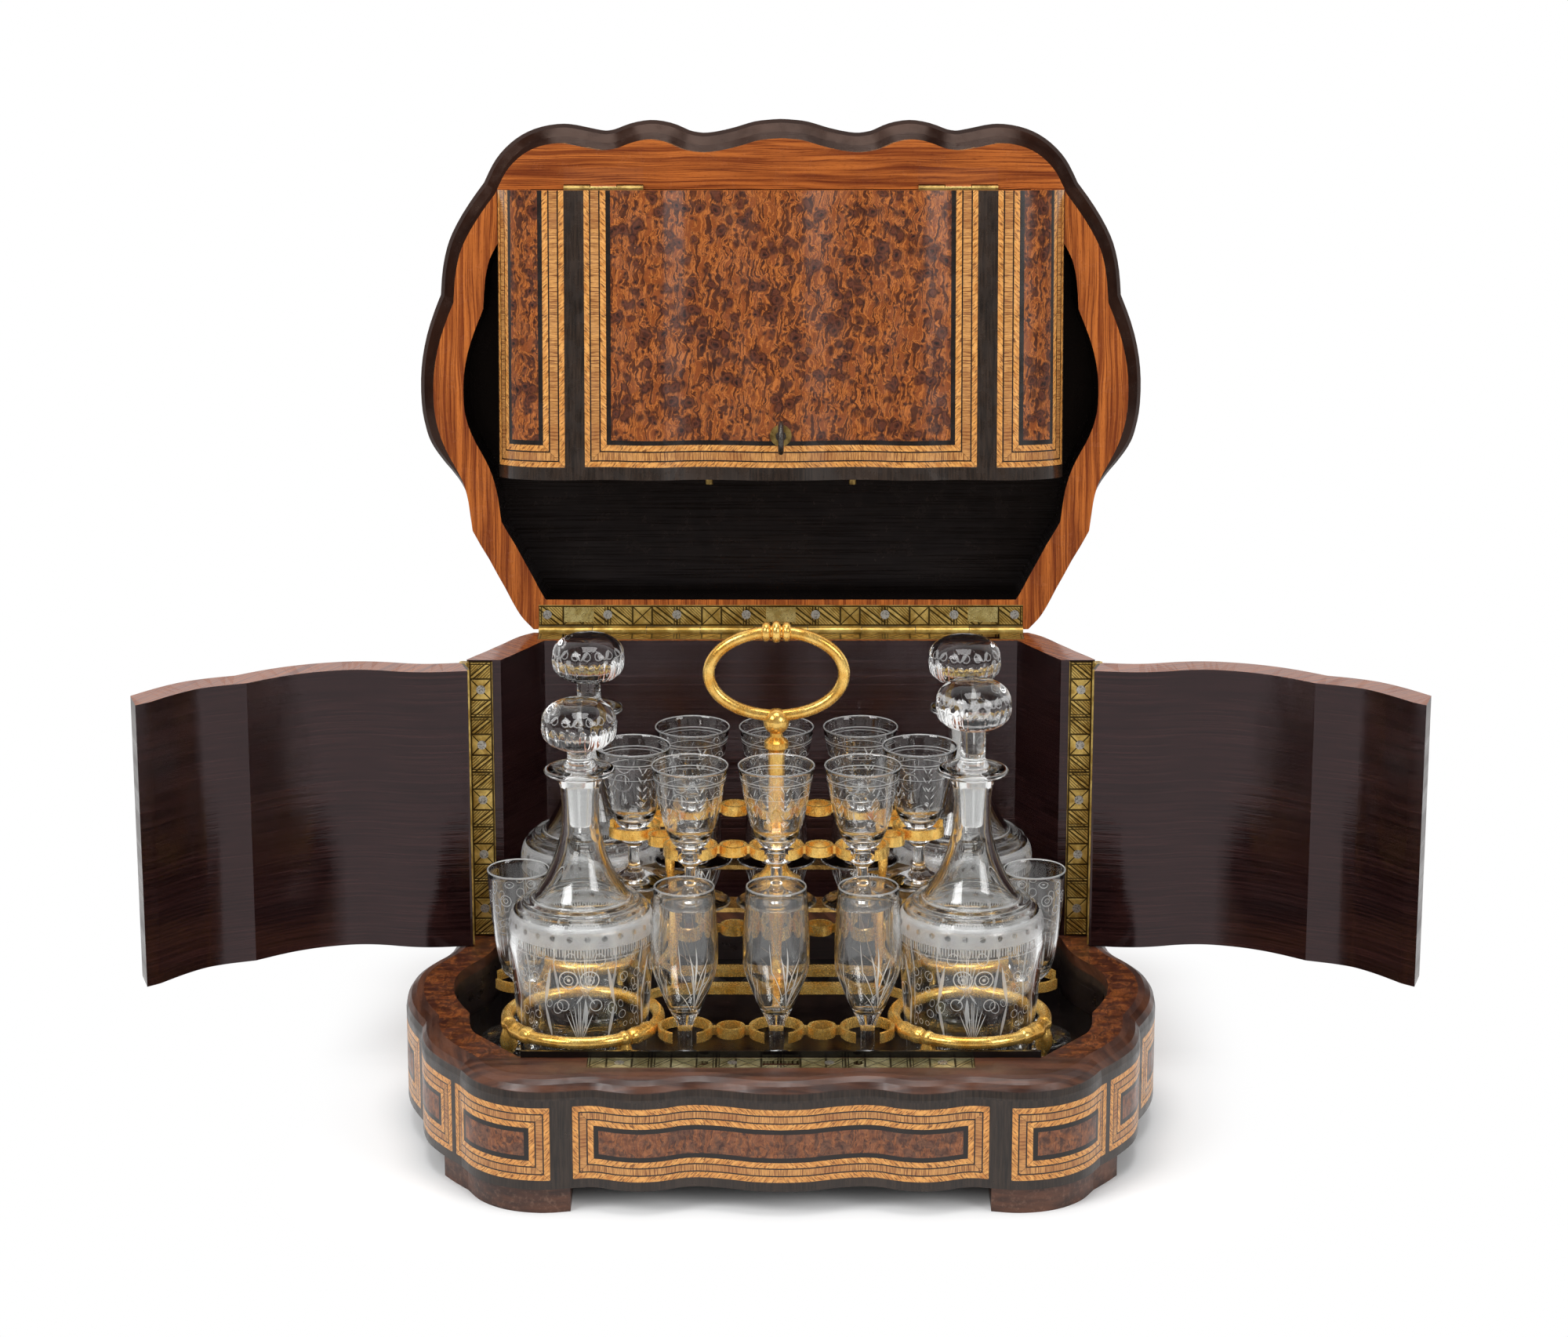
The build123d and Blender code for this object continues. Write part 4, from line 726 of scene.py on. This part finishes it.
def gilt_material():
    s = Shade("gilt")
    (x, y, z), _ = s.place()
    p = s.vector(x, y, z)
    patina = s.noise(p, 0.12, 4.0, 0.6)
    pits = s.noise(p, 1.1, 4.0, 0.65)
    soft = s.noise(p, 0.35, 3.0)
    colour = s.blend(patina, 0.3, 0.7, srgb(222, 162, 66), srgb(250, 208, 118))
    colour = s.stain(pits, 0.66, 0.76, 0.6, colour, srgb(130, 84, 34))
    return s.surface(colour, s.span(pits, 0.4, 0.7, 0.18, 0.34), soft + pits * 0.2, 0.10, metallic=0.76)


def steel_material(name, pale, dark):
    s = Shade(name)
    (x, y, z), _ = s.place()
    p = s.vector(x, y, z)
    spots = s.noise(p, 1.3, 5.0, 0.7)
    colour = s.blend(spots, 0.42, 0.68, pale, dark)
    return s.surface(colour, s.span(spots, 0.4, 0.7, 0.28, 0.5), spots, 0.12, metallic=0.9)


# Glass: a piece of revolution stands in its own box, from which the etching takes its places

class Etching:
    """Coordinates in mm on a glass of this height, folded into equal fields round it at a radius."""

    def __init__(self, s, height, fields, at, turn=0.0):
        self.s = s
        x, y, z = s.split(s.coords.outputs["Generated"])
        angle = (y - 0.5).apply("ARCTAN2", x - 0.5)
        self.round = angle / (2 * math.pi)
        self.width = 2 * math.pi * at / fields
        field = (self.round * fields + turn).apply("FRACT") - 0.5
        self.side = field * self.width
        self.x = abs(field) * self.width
        self.z = z * height

    def leaf(self, a, b, thick, folded=True):
        """A pointed leaf from a to b."""
        s, x = self.s, (self.x if folded else self.side)
        size = math.dist(a, b)
        ux, uy = (b[0] - a[0]) / size, (b[1] - a[1]) / size
        along = (x - a[0]) * ux + (self.z - a[1]) * uy
        off = abs((x - a[0]) * uy - (self.z - a[1]) * ux)
        k = (along / size).low(1.0).high(0.0)
        return s.fade(off - k * (1.0 - k) * 4.0 * thick, 0.12, -0.12)

    def leaves(self, *rows, folded=True):
        """Leaves, each given by both ends and its thickness."""
        return most(*[self.leaf((ax, az), (bx, bz), thick, folded) for ax, az, bx, bz, thick in rows])

    def away(self, centre):
        ex, ey = self.x - centre[0], self.z - centre[1]
        return (ex * ex + ey * ey).power(0.5)

    def circles(self, *rows):
        """Rings, each given by its centre, radius and thickness."""
        return most(*[self.s.fade(abs(self.away((x, z)) - radius), thick * 1.3, thick * 0.6)
                      for x, z, radius, thick in rows])

    def disc(self, centre, radius):
        return self.s.fade(self.away(centre), radius * 1.1, radius * 0.9)

    def band(self, low, high):
        return self.s.fade(self.z, low - 0.12, low + 0.12) * self.s.fade(self.z, high + 0.12, high - 0.12)

    def dots(self, count, z, radius, at):
        step = 2 * math.pi * at / count
        ex = (self.round * (2 * math.pi * at)).wrapped(step)
        ey = self.z - z
        return self.s.fade((ex * ex + ey * ey).power(0.5), radius * 1.2, radius * 0.8)

    def comb(self, count, low, high, share=0.5):
        part = (self.round * count).apply("FRACT")
        return self.band(low, high) * (part < share)


CRYSTAL = (0.985, 0.99, 0.985)
FROST = (0.86, 0.87, 0.87)
glass_ior = 1.5


def glass_surface(s, etch, bump=None, bump_mm=0.1):
    """Clear crystal, frosted where it is etched."""
    return s.surface(s.mix(etch, CRYSTAL, FROST), etch * 0.5, bump, bump_mm, glass=True,
                     transmission_weight=1.0 - etch * 0.45, ior=glass_ior)


def clear_material():
    """The inner faces of the glasses, polished, with slight ripples."""
    s = Shade("crystal_inside")
    (x, y, z), _ = s.place()
    ripple = s.noise((x, y, z), 0.12)
    return s.surface(CRYSTAL, ripple * 0.02, ripple, 0.02, glass=True, transmission_weight=1.0, ior=glass_ior)


def carafe_material(h):
    s = Shade("crystal_carafe")
    e = Etching(s, h, 4, 31.0, 0.5)
    frost = e.band(h * 0.490, h * 0.552) * (1.0 - e.dots(26, h * 0.522, 1.3, 31.0) * 0.8)
    comb = e.comb(150, h * 0.465, h * 0.490, 0.4)
    rings = most(e.band(h * 0.455, h * 0.458), e.band(h * 0.590, h * 0.593))
    arch = most(e.circles((4.6, 56.0, 4.0, 0.34), (4.6, 56.0, 2.0, 0.24), (7.4, 44.0, 2.6, 0.24)),
                e.disc((4.6, 56.0), 0.8))
    fan = e.leaves(*[(0.3 + 0.3 * k, 28.0, 0.5 + 1.9 * k, 47.0 - 2.2 * k, 0.28) for k in range(4)])
    drop = e.leaves((0.0, 12.0, 0.0, 26.0, 1.1), (1.0, 28.0, 5.0, 23.5, 0.5))
    ribbon = most(e.leaves((12.4, 62.0, 16.4, 42.0, 0.9), (16.2, 44.0, 13.2, 27.0, 0.8)),
                  e.circles((14.6, 23.0, 2.6, 0.22), (19.6, 26.0, 1.6, 0.18)), e.disc((14.6, 23.0), 0.5))
    fine = e.circles((20.6, 56.0, 1.9, 0.16), (21.4, 49.0, 1.3, 0.14), (20.4, 38.0, 1.8, 0.16),
                     (22.4, 33.0, 1.1, 0.13))
    etch = most(frost * 0.48, comb * 0.6, rings * 0.5, arch * 0.66, fan * 0.7, drop * 0.7, ribbon * 0.6,
                fine * 0.6)
    return glass_surface(s, etch * (e.z < h * 0.6))


def stopper_material(h):
    s = Shade("crystal_stopper")
    e = Etching(s, h, 9, 15.0)
    dots = e.dots(22, h * 0.80, 1.2, 15.0)
    leaves = most(e.leaves((0.0, h * 0.86, 3.4, h * 0.93, 0.7)), e.circles((2.6, h * 0.89, 1.6, 0.25)))
    etch = most(leaves * 0.45, dots * 0.25, e.band(0.0, 24.0) * 0.35, e.band(h * 0.740, h * 0.752) * 0.4)
    return glass_surface(s, etch, dots * 1.2, 0.4)


def goblet_material(h):
    s = Shade("crystal_goblet")
    e = Etching(s, h, 5, 15.0)
    rings = most(e.band(h * 0.912, h * 0.919), e.band(h * 0.893, h * 0.897), e.band(h * 0.803, h * 0.807))
    scallop = most(e.circles((0.0, h * 0.80, 3.4, 0.15)), e.disc((0.0, h * 0.832), 0.35),
                   e.disc((9.4, h * 0.85), 0.4)) * e.band(h * 0.807, h * 0.892)
    sprig = e.leaves(*[(9.0, h * (0.60 + 0.06 * k), 6.8, h * (0.64 + 0.06 * k), 0.32) for k in range(3)])
    swag = most(e.circles((0.0, h * 0.80, 4.8, 0.16)) * e.band(h * 0.5, h * 0.79),
                e.leaves((0.0, h * 0.65, 0.0, h * 0.72, 0.5)))
    lip = e.band(h * 0.988, h * 1.01)
    etch = most(rings * 0.6, scallop * 0.6, sprig * 0.65, swag * 0.5, lip * 0.45)
    return glass_surface(s, etch * (e.z > h * 0.55))


def flute_material(h):
    s = Shade("crystal_flute")
    e = Etching(s, h, 3, 14.0)
    cuts = e.leaves((0.0, 40.0, 2.6, 62.0, 0.50), (0.2, 41.0, 5.6, 58.0, 0.42), (0.0, 40.0, -4.5, 59.0, 0.42),
                    (1.0, 38.0, 11.0, 52.0, 0.24), (-1.0, 38.0, -10.5, 50.0, 0.24),
                    (-9.0, 44.0, 8.0, 57.0, 0.16), (9.5, 46.0, 10.5, 64.0, 0.22), folded=False)
    lip = e.band(h - 0.8, h + 1.0)
    return glass_surface(s, most(cuts * 0.7, lip * 0.45), cuts * -1.0, 0.06)


def tall_material(h):
    s = Shade("crystal_tall")
    e = Etching(s, h, 8, 13.5)
    scallop = e.circles((0.0, h * 0.86, 2.6, 0.22), (0.0, h * 0.86, 1.1, 0.18), (5.3, h * 0.80, 1.9, 0.18))
    comb = e.comb(80, h * 0.62, h * 0.645, 0.35)
    drops = e.leaves((0.0, h * 0.45, 0.0, h * 0.59, 0.7), (3.4, h * 0.51, 3.4, h * 0.60, 0.4))
    swirl = e.circles((2.4, h * 0.72, 1.6, 0.16), (5.0, h * 0.70, 1.1, 0.14))
    rings = most(e.band(h * 0.662, h * 0.666), e.band(h * 0.612, h * 0.615))
    lip = e.band(h - 0.8, h + 1.0)
    return glass_surface(s, most(scallop * 0.6, comb * 0.4, drops * 0.6, rings * 0.5, swirl * 0.5, lip * 0.6))


def linked(name, data):
    """A new object in the scene."""
    item = bpy.data.objects.new(name, data)
    bpy.context.scene.collection.objects.link(item)
    return item


def mesh_of(name, verts, faces):
    mesh = bpy.data.meshes.new(name)
    mesh.from_pydata(verts, [], faces)
    mesh.shade_smooth()
    return mesh


def joined(one, two):
    """Faces between two rings of vertices, or between a ring and its tip."""
    for k in range(max(len(one), len(two))):
        n = (k + 1) % max(len(one), len(two))
        if len(one) == 1:
            yield one[0], two[n], two[k]
        elif len(two) == 1:
            yield one[k], one[n], two[0]
        else:
            yield one[k], one[n], two[n], two[k]


# Pieces of revolution

def lathe(name, runs, centre, base, segments=72, cut=None, inside=None):
    """A closed mesh of revolution; each run is a smooth curve through (radius, height) points.
    Faces from run number inside on take the second material."""
    profile = []
    inner_row = None
    for number, run in enumerate(runs):
        if number == inside:
            inner_row = len(profile) - 1
        points = smooth(run, 5) if len(run) > 2 else list(run)
        if profile and math.dist(profile[-1], points[0]) < 1e-6:
            points = points[1:]
        profile += points
    verts, faces, rows = [], [], []
    for r, z in profile:
        if r < 1e-6:
            rows.append([len(verts)])
            verts.append((0.0, 0.0, z * MM))
            continue
        rows.append(list(range(len(verts), len(verts) + segments)))
        for k in range(segments):
            a = 2 * math.pi * k / segments
            q = cut(a, r, z) if cut else r
            verts.append((q * math.cos(a) * MM, q * math.sin(a) * MM, z * MM))
    for one, two in zip(rows, rows[1:]):
        faces += joined(one, two)
    mesh = mesh_of(name, verts, faces)
    mesh.set_sharp_from_angle(angle=math.radians(46))
    if inner_row is not None:
        row_of = [i for i, row in enumerate(rows[:-1]) for _ in range(segments)]
        mesh.polygons.foreach_set("material_index", [1 if row >= inner_row else 0 for row in row_of])
    return stand_piece(name, mesh, centre, base)


def stand_piece(name, mesh, centre, base):
    piece = linked(name, mesh)
    piece.location = (centre[0] * MM, centre[1] * MM, base * MM)
    return piece


def foot_of(node):
    """Centre and height of a node's foot, in mm."""
    low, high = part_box(node)
    return ((low[0] + high[0]) / 2 / MM, (low[1] + high[1]) / 2 / MM), low[2] / MM


# Sizes of the glasses in mm; the heights and feet are those of the CAD
carafe_height, carafe_radius = 143.0, 32.0
goblet_height, goblet_foot = 64.0, 17.8
flute_height, flute_foot = 95.0, 16.5
tall_height = 81.0
stopper_height = 57.0
peg_length, knob_rise, knob_height = 26.0, 9.0, 22.0
foot_edge, foot_rise, stem_rise = 1.2, 7.0, 12.6

# Bowls: radius as a share of the rim's, height as a share of the bowl's
goblet_shares = ((0.40, 0), (0.50, 0.06), (0.62, 0.18), (0.72, 0.34), (0.81, 0.54), (0.90, 0.77), (1, 1))
flute_shares = ((0.30, 0), (0.62, 0.14), (0.86, 0.27), (1.05, 0.38), (1.10, 0.46), (1.06, 0.75), (1, 1))
tall_shares = ((0.30, 0), (0.52, 0.06), (0.68, 0.20), (0.80, 0.42), (0.91, 0.70), (1, 1))

# Carafe: radius and height as shares of its own
body_shares = ((0.80, 0), (0.83, 0.012), (0.905, 0.19), (0.965, 0.36), (1, 0.47), (0.985, 0.53),
               (0.90, 0.565))
shoulder_shares = ((0.90, 0.565), (0.82, 0.575), (0.795, 0.585), (0.70, 0.588), (0.66, 0.598))
neck_shares = ((0.64, 0.60), (0.50, 0.65), (0.35, 0.73), (0.275, 0.80), (0.255, 0.87), (0.27, 0.94),
               (0.33, 0.975))
knob_shares = ((0.62, 0.05), (0.90, 0.2), (1, 0.47), (0.90, 0.76), (0.55, 0.95), (0, 1))


def stemware_runs(height, rim, foot, stem, bowl, shares, necks=None):
    """Profile of a stemmed glass; without necks of its own the stem runs plainly into the bowl."""
    wall = 1.1
    base = height - bowl
    necks = necks or [[(stem, stem_rise), (stem, base - stem)], [(stem, base - stem), (rim * 0.30, base)]]
    outer = [(s * rim, base + h * bowl) for s, h in shares]
    outer[-1] = (rim - wall * 0.2, height - wall * 0.25)
    inner = [(s * rim - wall, base + h * bowl) for s, h in shares if h > 0.1]
    inner[-1] = (inner[-1][0] + wall * 0.2, height - wall * 0.25)
    dip = base + bowl * 0.08
    return [[(0.0, 0.5), (foot * 0.4, 0.4), (foot * 0.93, 0.0)],
            [(foot * 0.93, 0.0), (foot, foot_edge * 0.5), (foot * 0.97, foot_edge)],
            [(foot * 0.97, foot_edge), (foot * 0.45, foot_edge + foot_rise * 0.35), (stem * 1.2, foot_rise),
             (stem, stem_rise)],
            *necks, outer, [outer[-1], ((outer[-1][0] + inner[-1][0]) / 2, height), inner[-1]],
            [*reversed(inner), (inner[0][0] * 0.6, dip + wall * 0.3), (0.0, dip)]]


def goblet_runs():
    stem, collar, neck, rim, bowl = 2.6, 5.6, 4.0, 17.2, 37.0
    band_low = 22.75
    collar_z = band_low - collar * 0.55
    base = goblet_height - bowl
    under = (stem, collar_z - collar * 0.5)
    necks = [[(stem, stem_rise), under],
             [under, (collar * 0.8, collar_z - collar * 0.2), (collar, collar_z),
              (collar, collar_z + collar * 0.3), (neck, band_low)],
             [(neck, band_low), (neck, base - neck * 0.3), (rim * 0.40, base)]]
    return stemware_runs(goblet_height, rim, goblet_foot, stem, bowl, goblet_shares, necks)


def carafe_runs():
    h = carafe_height
    thick, bore, lip, lip_radius = 2.4, 6.3, 2.2, carafe_radius * 0.49
    outer, shoulder, neck = [[(s * carafe_radius, q * h) for s, q in shares]
                             for shares in (body_shares, shoulder_shares, neck_shares)]
    foot, mouth = outer[0][0], (bore, h - 1.2)
    edge = (foot * 0.97, 0.0)
    lips = [neck[-1], (lip_radius * 0.93, h - lip), (lip_radius, h - lip * 0.5), (lip_radius * 0.95, h),
            (bore * 1.2, h - 0.3), mouth]
    inner = [(s - thick, q) for s, q in outer if q > thick][:-1]
    inner.append((outer[-1][0] - thick, outer[-1][1] - thick))
    inside = [mouth, (bore, h * 0.80), *reversed([(s - thick, q - thick * 0.5) for s, q in neck[:3]])]
    corner = (inner[0][0] * 0.97, thick * 1.4)
    return [[(0.0, 1.6), (foot * 0.7, 1.2), edge], [edge, outer[1]], outer[1:], shoulder,
            [shoulder[-1], neck[0]], neck, lips, inside[:2], inside[1:], [inside[-1], inner[-1]],
            inner[::-1], [inner[0], corner], [corner, (inner[0][0] * 0.5, thick * 1.9), (0.0, thick * 2.4)]]


def stopper_runs(base):
    """Profile of a stopper whose knob begins at base above the carafe's lip, from the peg's tip."""
    peg, tip, collar, neck, knob, tall = 5.6, 4.6, 7.0, 5.4, 16.7, knob_height
    places = [(0.0, -peg_length), (tip * 0.9, -peg_length), (tip, -peg_length + 0.8), (peg, -tip), (peg, 0.3),
              (collar * 0.93, 0.4)]
    runs = [[a, b] for a, b in zip(places, places[1:])]
    runs += [[places[-1], (collar, 1.2), (collar * 0.9, 2.6), (neck, 5.0)], [(neck, 5.0), (neck, base)],
             [(neck, base), *[(knob * s, base + tall * q) for s, q in knob_shares]]]
    return [[(r, z + peg_length) for r, z in run] for run in runs]


def knob_cut(base):
    """Shallow flutes round the lower part of a stopper's knob, which begins at base."""
    low, high = 0.03, 0.62

    def cut(angle, radius, z):
        share = (z - base) / knob_height
        if not low < share < high:
            return radius
        depth = 0.045 * math.sin(math.pi * (share - low) / (high - low))
        return radius * (1.0 - depth * abs(math.cos(angle * 9)))
    return cut


# How much higher each stopper's knob stands
knob_extra = {"front_left": 0.0, "front_right": 9.0, "back_left": 3.0, "back_right": 2.0}
places = ("left", "middle", "right")


def crystal(piece, node, body):
    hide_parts(node)
    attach(piece, body)


def copies(nodes, body, runs, material, inside, segments=72):
    """One mesh for like glasses, each standing for its CAD node; with no body named, each is its own."""
    mesh = None
    for node in nodes:
        centre, base = foot_of(node)
        if mesh is None:
            piece = lathe("fine_" + node, runs, centre, base, segments, inside=inside)
            mesh = piece.data
            mesh.materials.append(material)
            mesh.materials.append(clear_glass)
        else:
            piece = stand_piece("fine_" + node, mesh, centre, base)
        crystal(piece, node, body or node)


def glassware():
    carafes = ["carafe_" + corner for corner in knob_extra]
    copies(carafes, None, carafe_runs(), carafe_material(carafe_height), inside=7, segments=96)
    for corner, extra in knob_extra.items():
        node = "stopper_" + corner
        base = knob_rise + extra
        piece = lathe("fine_" + node, stopper_runs(base), *foot_of(node), segments=108,
                      cut=knob_cut(base + peg_length))
        piece.data.materials.append(stopper_glass)
        crystal(piece, node, node)
    rows = [f"{row}_{place}" for row in ("front", "back") for place in places]
    goblets = ["goblet_" + place for place in rows + ["side_left", "side_right"]]
    copies(goblets, None, goblet_runs(), goblet_material(goblet_height), inside=8)
    flute = stemware_runs(flute_height, rim=13.4, foot=flute_foot, stem=3.2, bowl=63.0, shares=flute_shares)
    copies(["flute_" + place for place in rows], "stand", flute, flute_material(flute_height), inside=7)
    tall = stemware_runs(tall_height, rim=14.3, foot=goblet_foot, stem=2.8, bowl=52.0, shares=tall_shares)
    copies(["tall_glass_left", "tall_glass_right"], "stand", tall, tall_material(tall_height), inside=7)


clear_glass = clear_material()
stopper_glass = stopper_material(stopper_height)
glassware()

# Finishes of the CAD pieces

# Engraving of the leaves: width, period, where a square stands, and the place of the leaf's edge
pillar_engraving = (11.0, 26.62, 75.61, 143.9)
lid_engraving = (10.0, 32.6, 0.0, 61.6)
strike_engraving = (12.0, 28.0, 14.0, -145.0)

gilt = gilt_material()
walls = wall_material("walls", ())
tray = tray_material()
hinge_brass = plain_brass_material("hinge_brass", srgb(190, 160, 96), srgb(130, 104, 58), 0.34)
screw_steel = steel_material("screw_steel", srgb(196, 192, 184), srgb(110, 104, 96))

looks = {
    "plinth_carcass": plinth_material(), "plinth_rim": rim_material(), "plinth_feet": feet_material(),
    "lid_frame": lid_material(), "lid_top_panel": lid_top_material(), "flap_panel": flap_material(),
    "flap_rim_leaves": flap_hinge_material(),
    "pillar_leaves": brass_material("pillar_brass", "z", (), *pillar_engraving),
    "lid_hinge_leaf": brass_material("lid_brass", "x", LID_TURNS, *lid_engraving),
    "wall_hinge_leaf": brass_material("wall_brass", "x", (), *lid_engraving),
    "strike_strip": brass_material("strike_brass", "x", (), *strike_engraving, GREY_BRASS),
    "stop_lugs": plain_brass_material("light_brass", srgb(226, 206, 140), srgb(186, 160, 92), 0.26),
    "shelf": plain_brass_material("shelf_brass", srgb(196, 158, 90), srgb(134, 100, 52), 0.24),
    "key": steel_material("key_steel", srgb(96, 92, 88), srgb(48, 44, 42)),
}
for side, turns in (("left", LEFT_TURNS), ("right", RIGHT_TURNS)):
    looks["door_" + side] = wall_material("door_" + side, turns)
    looks["door_leaf_" + side] = brass_material("door_brass_" + side, "z", turns, *pillar_engraving)
for material, nodes in ((walls, ("back_wall", "return_left", "return_right")),
                        (tray, ("well_floor", "serving_tray", "front_bead")),
                        (hinge_brass, ("lid_hinge_pin", "door_pins", "flap_leaves", "lock_fittings")),
                        (screw_steel, ("lid_screws", "base_screws", "lock_bolt")),
                        (gilt, ("lower_frame", "upper_chain", "columns", "post_handle"))):
    looks.update(dict.fromkeys(nodes, material))
for node, material in looks.items():
    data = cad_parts[node].data
    data.materials.clear()
    data.materials.append(material)

# Knots of leaves on the carafe rings

ring_x, ring_y, ring_radius, ring_wire = 85.5, 47.5, 33.5, 2.75
ring_z = tray_top + 28.0
knot_half_angle = 13.0
leaf_swell, collar_swell, end_swell = 0.52, 0.34, 0.02


def leaf_knot(name, centre, degrees):
    """A ribbed swelling round a ring's tube, drawn in at its middle by a collar."""
    rounds, steps = 20, 26
    verts, faces = [], []
    for i in range(steps + 1):
        t = i / steps * 2 - 1
        a = math.radians(degrees + knot_half_angle * t)
        bulge = math.sin(math.pi * abs(t))
        swell = 0.10 + leaf_swell * bulge ** 0.8 + collar_swell * math.exp(-(t / 0.13) ** 2)
        if i in (0, steps):
            swell = end_swell
        for k in range(rounds):
            b = 2 * math.pi * k / rounds
            lobes = 1.0 + 0.16 * math.cos(5 * b + 3.0 * t) * bulge
            r = ring_wire * (1.0 + swell * lobes * 0.62)
            out = ring_radius + r * math.cos(b)
            verts.append(((centre[0] + out * math.cos(a)) * MM, (centre[1] + out * math.sin(a)) * MM,
                          (ring_z + r * math.sin(b)) * MM))
    rings = [range(i * rounds, (i + 1) * rounds) for i in range(steps + 1)]
    for one, two in zip(rings, rings[1:]):
        faces += joined(one, two)
    faces += [tuple(reversed(rings[0])), tuple(rings[-1])]
    mesh = mesh_of(name, verts, faces)
    mesh.materials.append(gilt)
    piece = linked(name, mesh)
    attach(piece, "stand")


for sx in (-1, 1):
    for sy in (-1, 1):
        middle = (stand_x + sx * ring_x, stand_y + sy * ring_y)
        for degrees in (38, 142):
            leaf_knot(f"leaf_knot_{sx + 1}{sy + 1}_{degrees}", middle, degrees * sy)

# Floor, light and camera

RAYS = ("Camera", "Glossy", "Transmission")


def rays(s):
    """1 for each of these kinds of rays, 0 for others."""
    path = s.add("ShaderNodeLightPath")
    return [Num(path.outputs[f"Is {kind} Ray"]) for kind in RAYS]


floor_half = 3.0
floor_mesh = bpy.data.meshes.new("floor")
floor_mesh.from_pydata([(x * floor_half, y * floor_half, 0) for x, y in ((-1, -1), (1, -1), (1, 1), (-1, 1))],
                       [], [(0, 1, 2, 3)])
floor = linked("floor", floor_mesh)


def floor_material():
    """Pale floor that turns into the white backdrop away from the object."""
    s = Shade("floor")
    shadow_x, shadow_y, blend = 0.15, 0.13, 0.075
    x, y, _ = s.split(s.coords.outputs["Object"])
    side, ahead = (abs(x) - shadow_x).high(0.0), (abs(y) - shadow_y).high(0.0)
    away = s.fade((side * side + ahead * ahead).power(0.5), 0.0, blend)
    seen = most(*rays(s))
    base = s.add("ShaderNodeBsdfDiffuse")
    s.feed(base.inputs["Color"], (0.93, 0.93, 0.93))
    return s.finish(s.either(away * seen, base, s.add("ShaderNodeEmission")))


floor_mesh.materials.append(floor_material())

# The camera sees white all round. In mirrored and refracted rays the studio is white behind the object
# and dim on the camera's side, and elsewhere it lights the object evenly
front_level, ambient_level, white_from = 0.16, 0.55, 0.40
studio = Shade("studio", bpy.data.worlds)
bpy.context.scene.world = studio.owner
seen, mirrored, through = rays(studio)
_, behind, _ = studio.split(studio.coords.outputs["Generated"])
white = studio.span(behind, 0.0, white_from, front_level, 1.0)
level = studio.pick(mirrored.high(through), ambient_level, white)
sky = studio.add("ShaderNodeBackground")
studio.feed(sky.inputs["Color"], (1.0, 1.0, 1.0))
studio.feed(sky.inputs["Strength"], studio.pick(seen, level, 1.0))
studio.finish(sky, "ShaderNodeOutputWorld")

aim_height = 0.18


def lamp(name, place, size, power):
    """Soft square lamp that faces the middle of the object."""
    data = bpy.data.lights.new(name, "AREA")
    data.size = size
    data.energy = power
    item = linked(name, data)
    item.location = place
    aim = (-place[0], -place[1], aim_height - place[2])
    reach = math.hypot(aim[0], aim[1])
    item.rotation_euler = (math.atan2(reach, -aim[2]), 0.0, math.atan2(aim[1], aim[0]) - math.pi / 2)


lamp("key", (-1.2, -1.2, 1.5), 0.8, 19.0)
lamp("fill", (1.4, -1.4, 1.1), 0.8, 13.0)
lamp("top", (0.0, -0.3, 2.0), 1.0, 16.0)

camera_data = bpy.data.cameras.new("camera")
camera_data.lens = 100.2
camera_data.sensor_width = 36.0
camera_data.sensor_fit = "HORIZONTAL"
camera_data.shift_x = 0.002
camera_data.shift_y = 0.00905
camera = linked("camera", camera_data)
camera.location = (0.0, -1.907, 0.7467)
camera_pitch = 16.2
camera.rotation_euler = (math.radians(90.0 - camera_pitch), 0.0, 0.0)
bpy.context.scene.camera = camera
bpy.context.scene.view_settings.view_transform = "Standard"
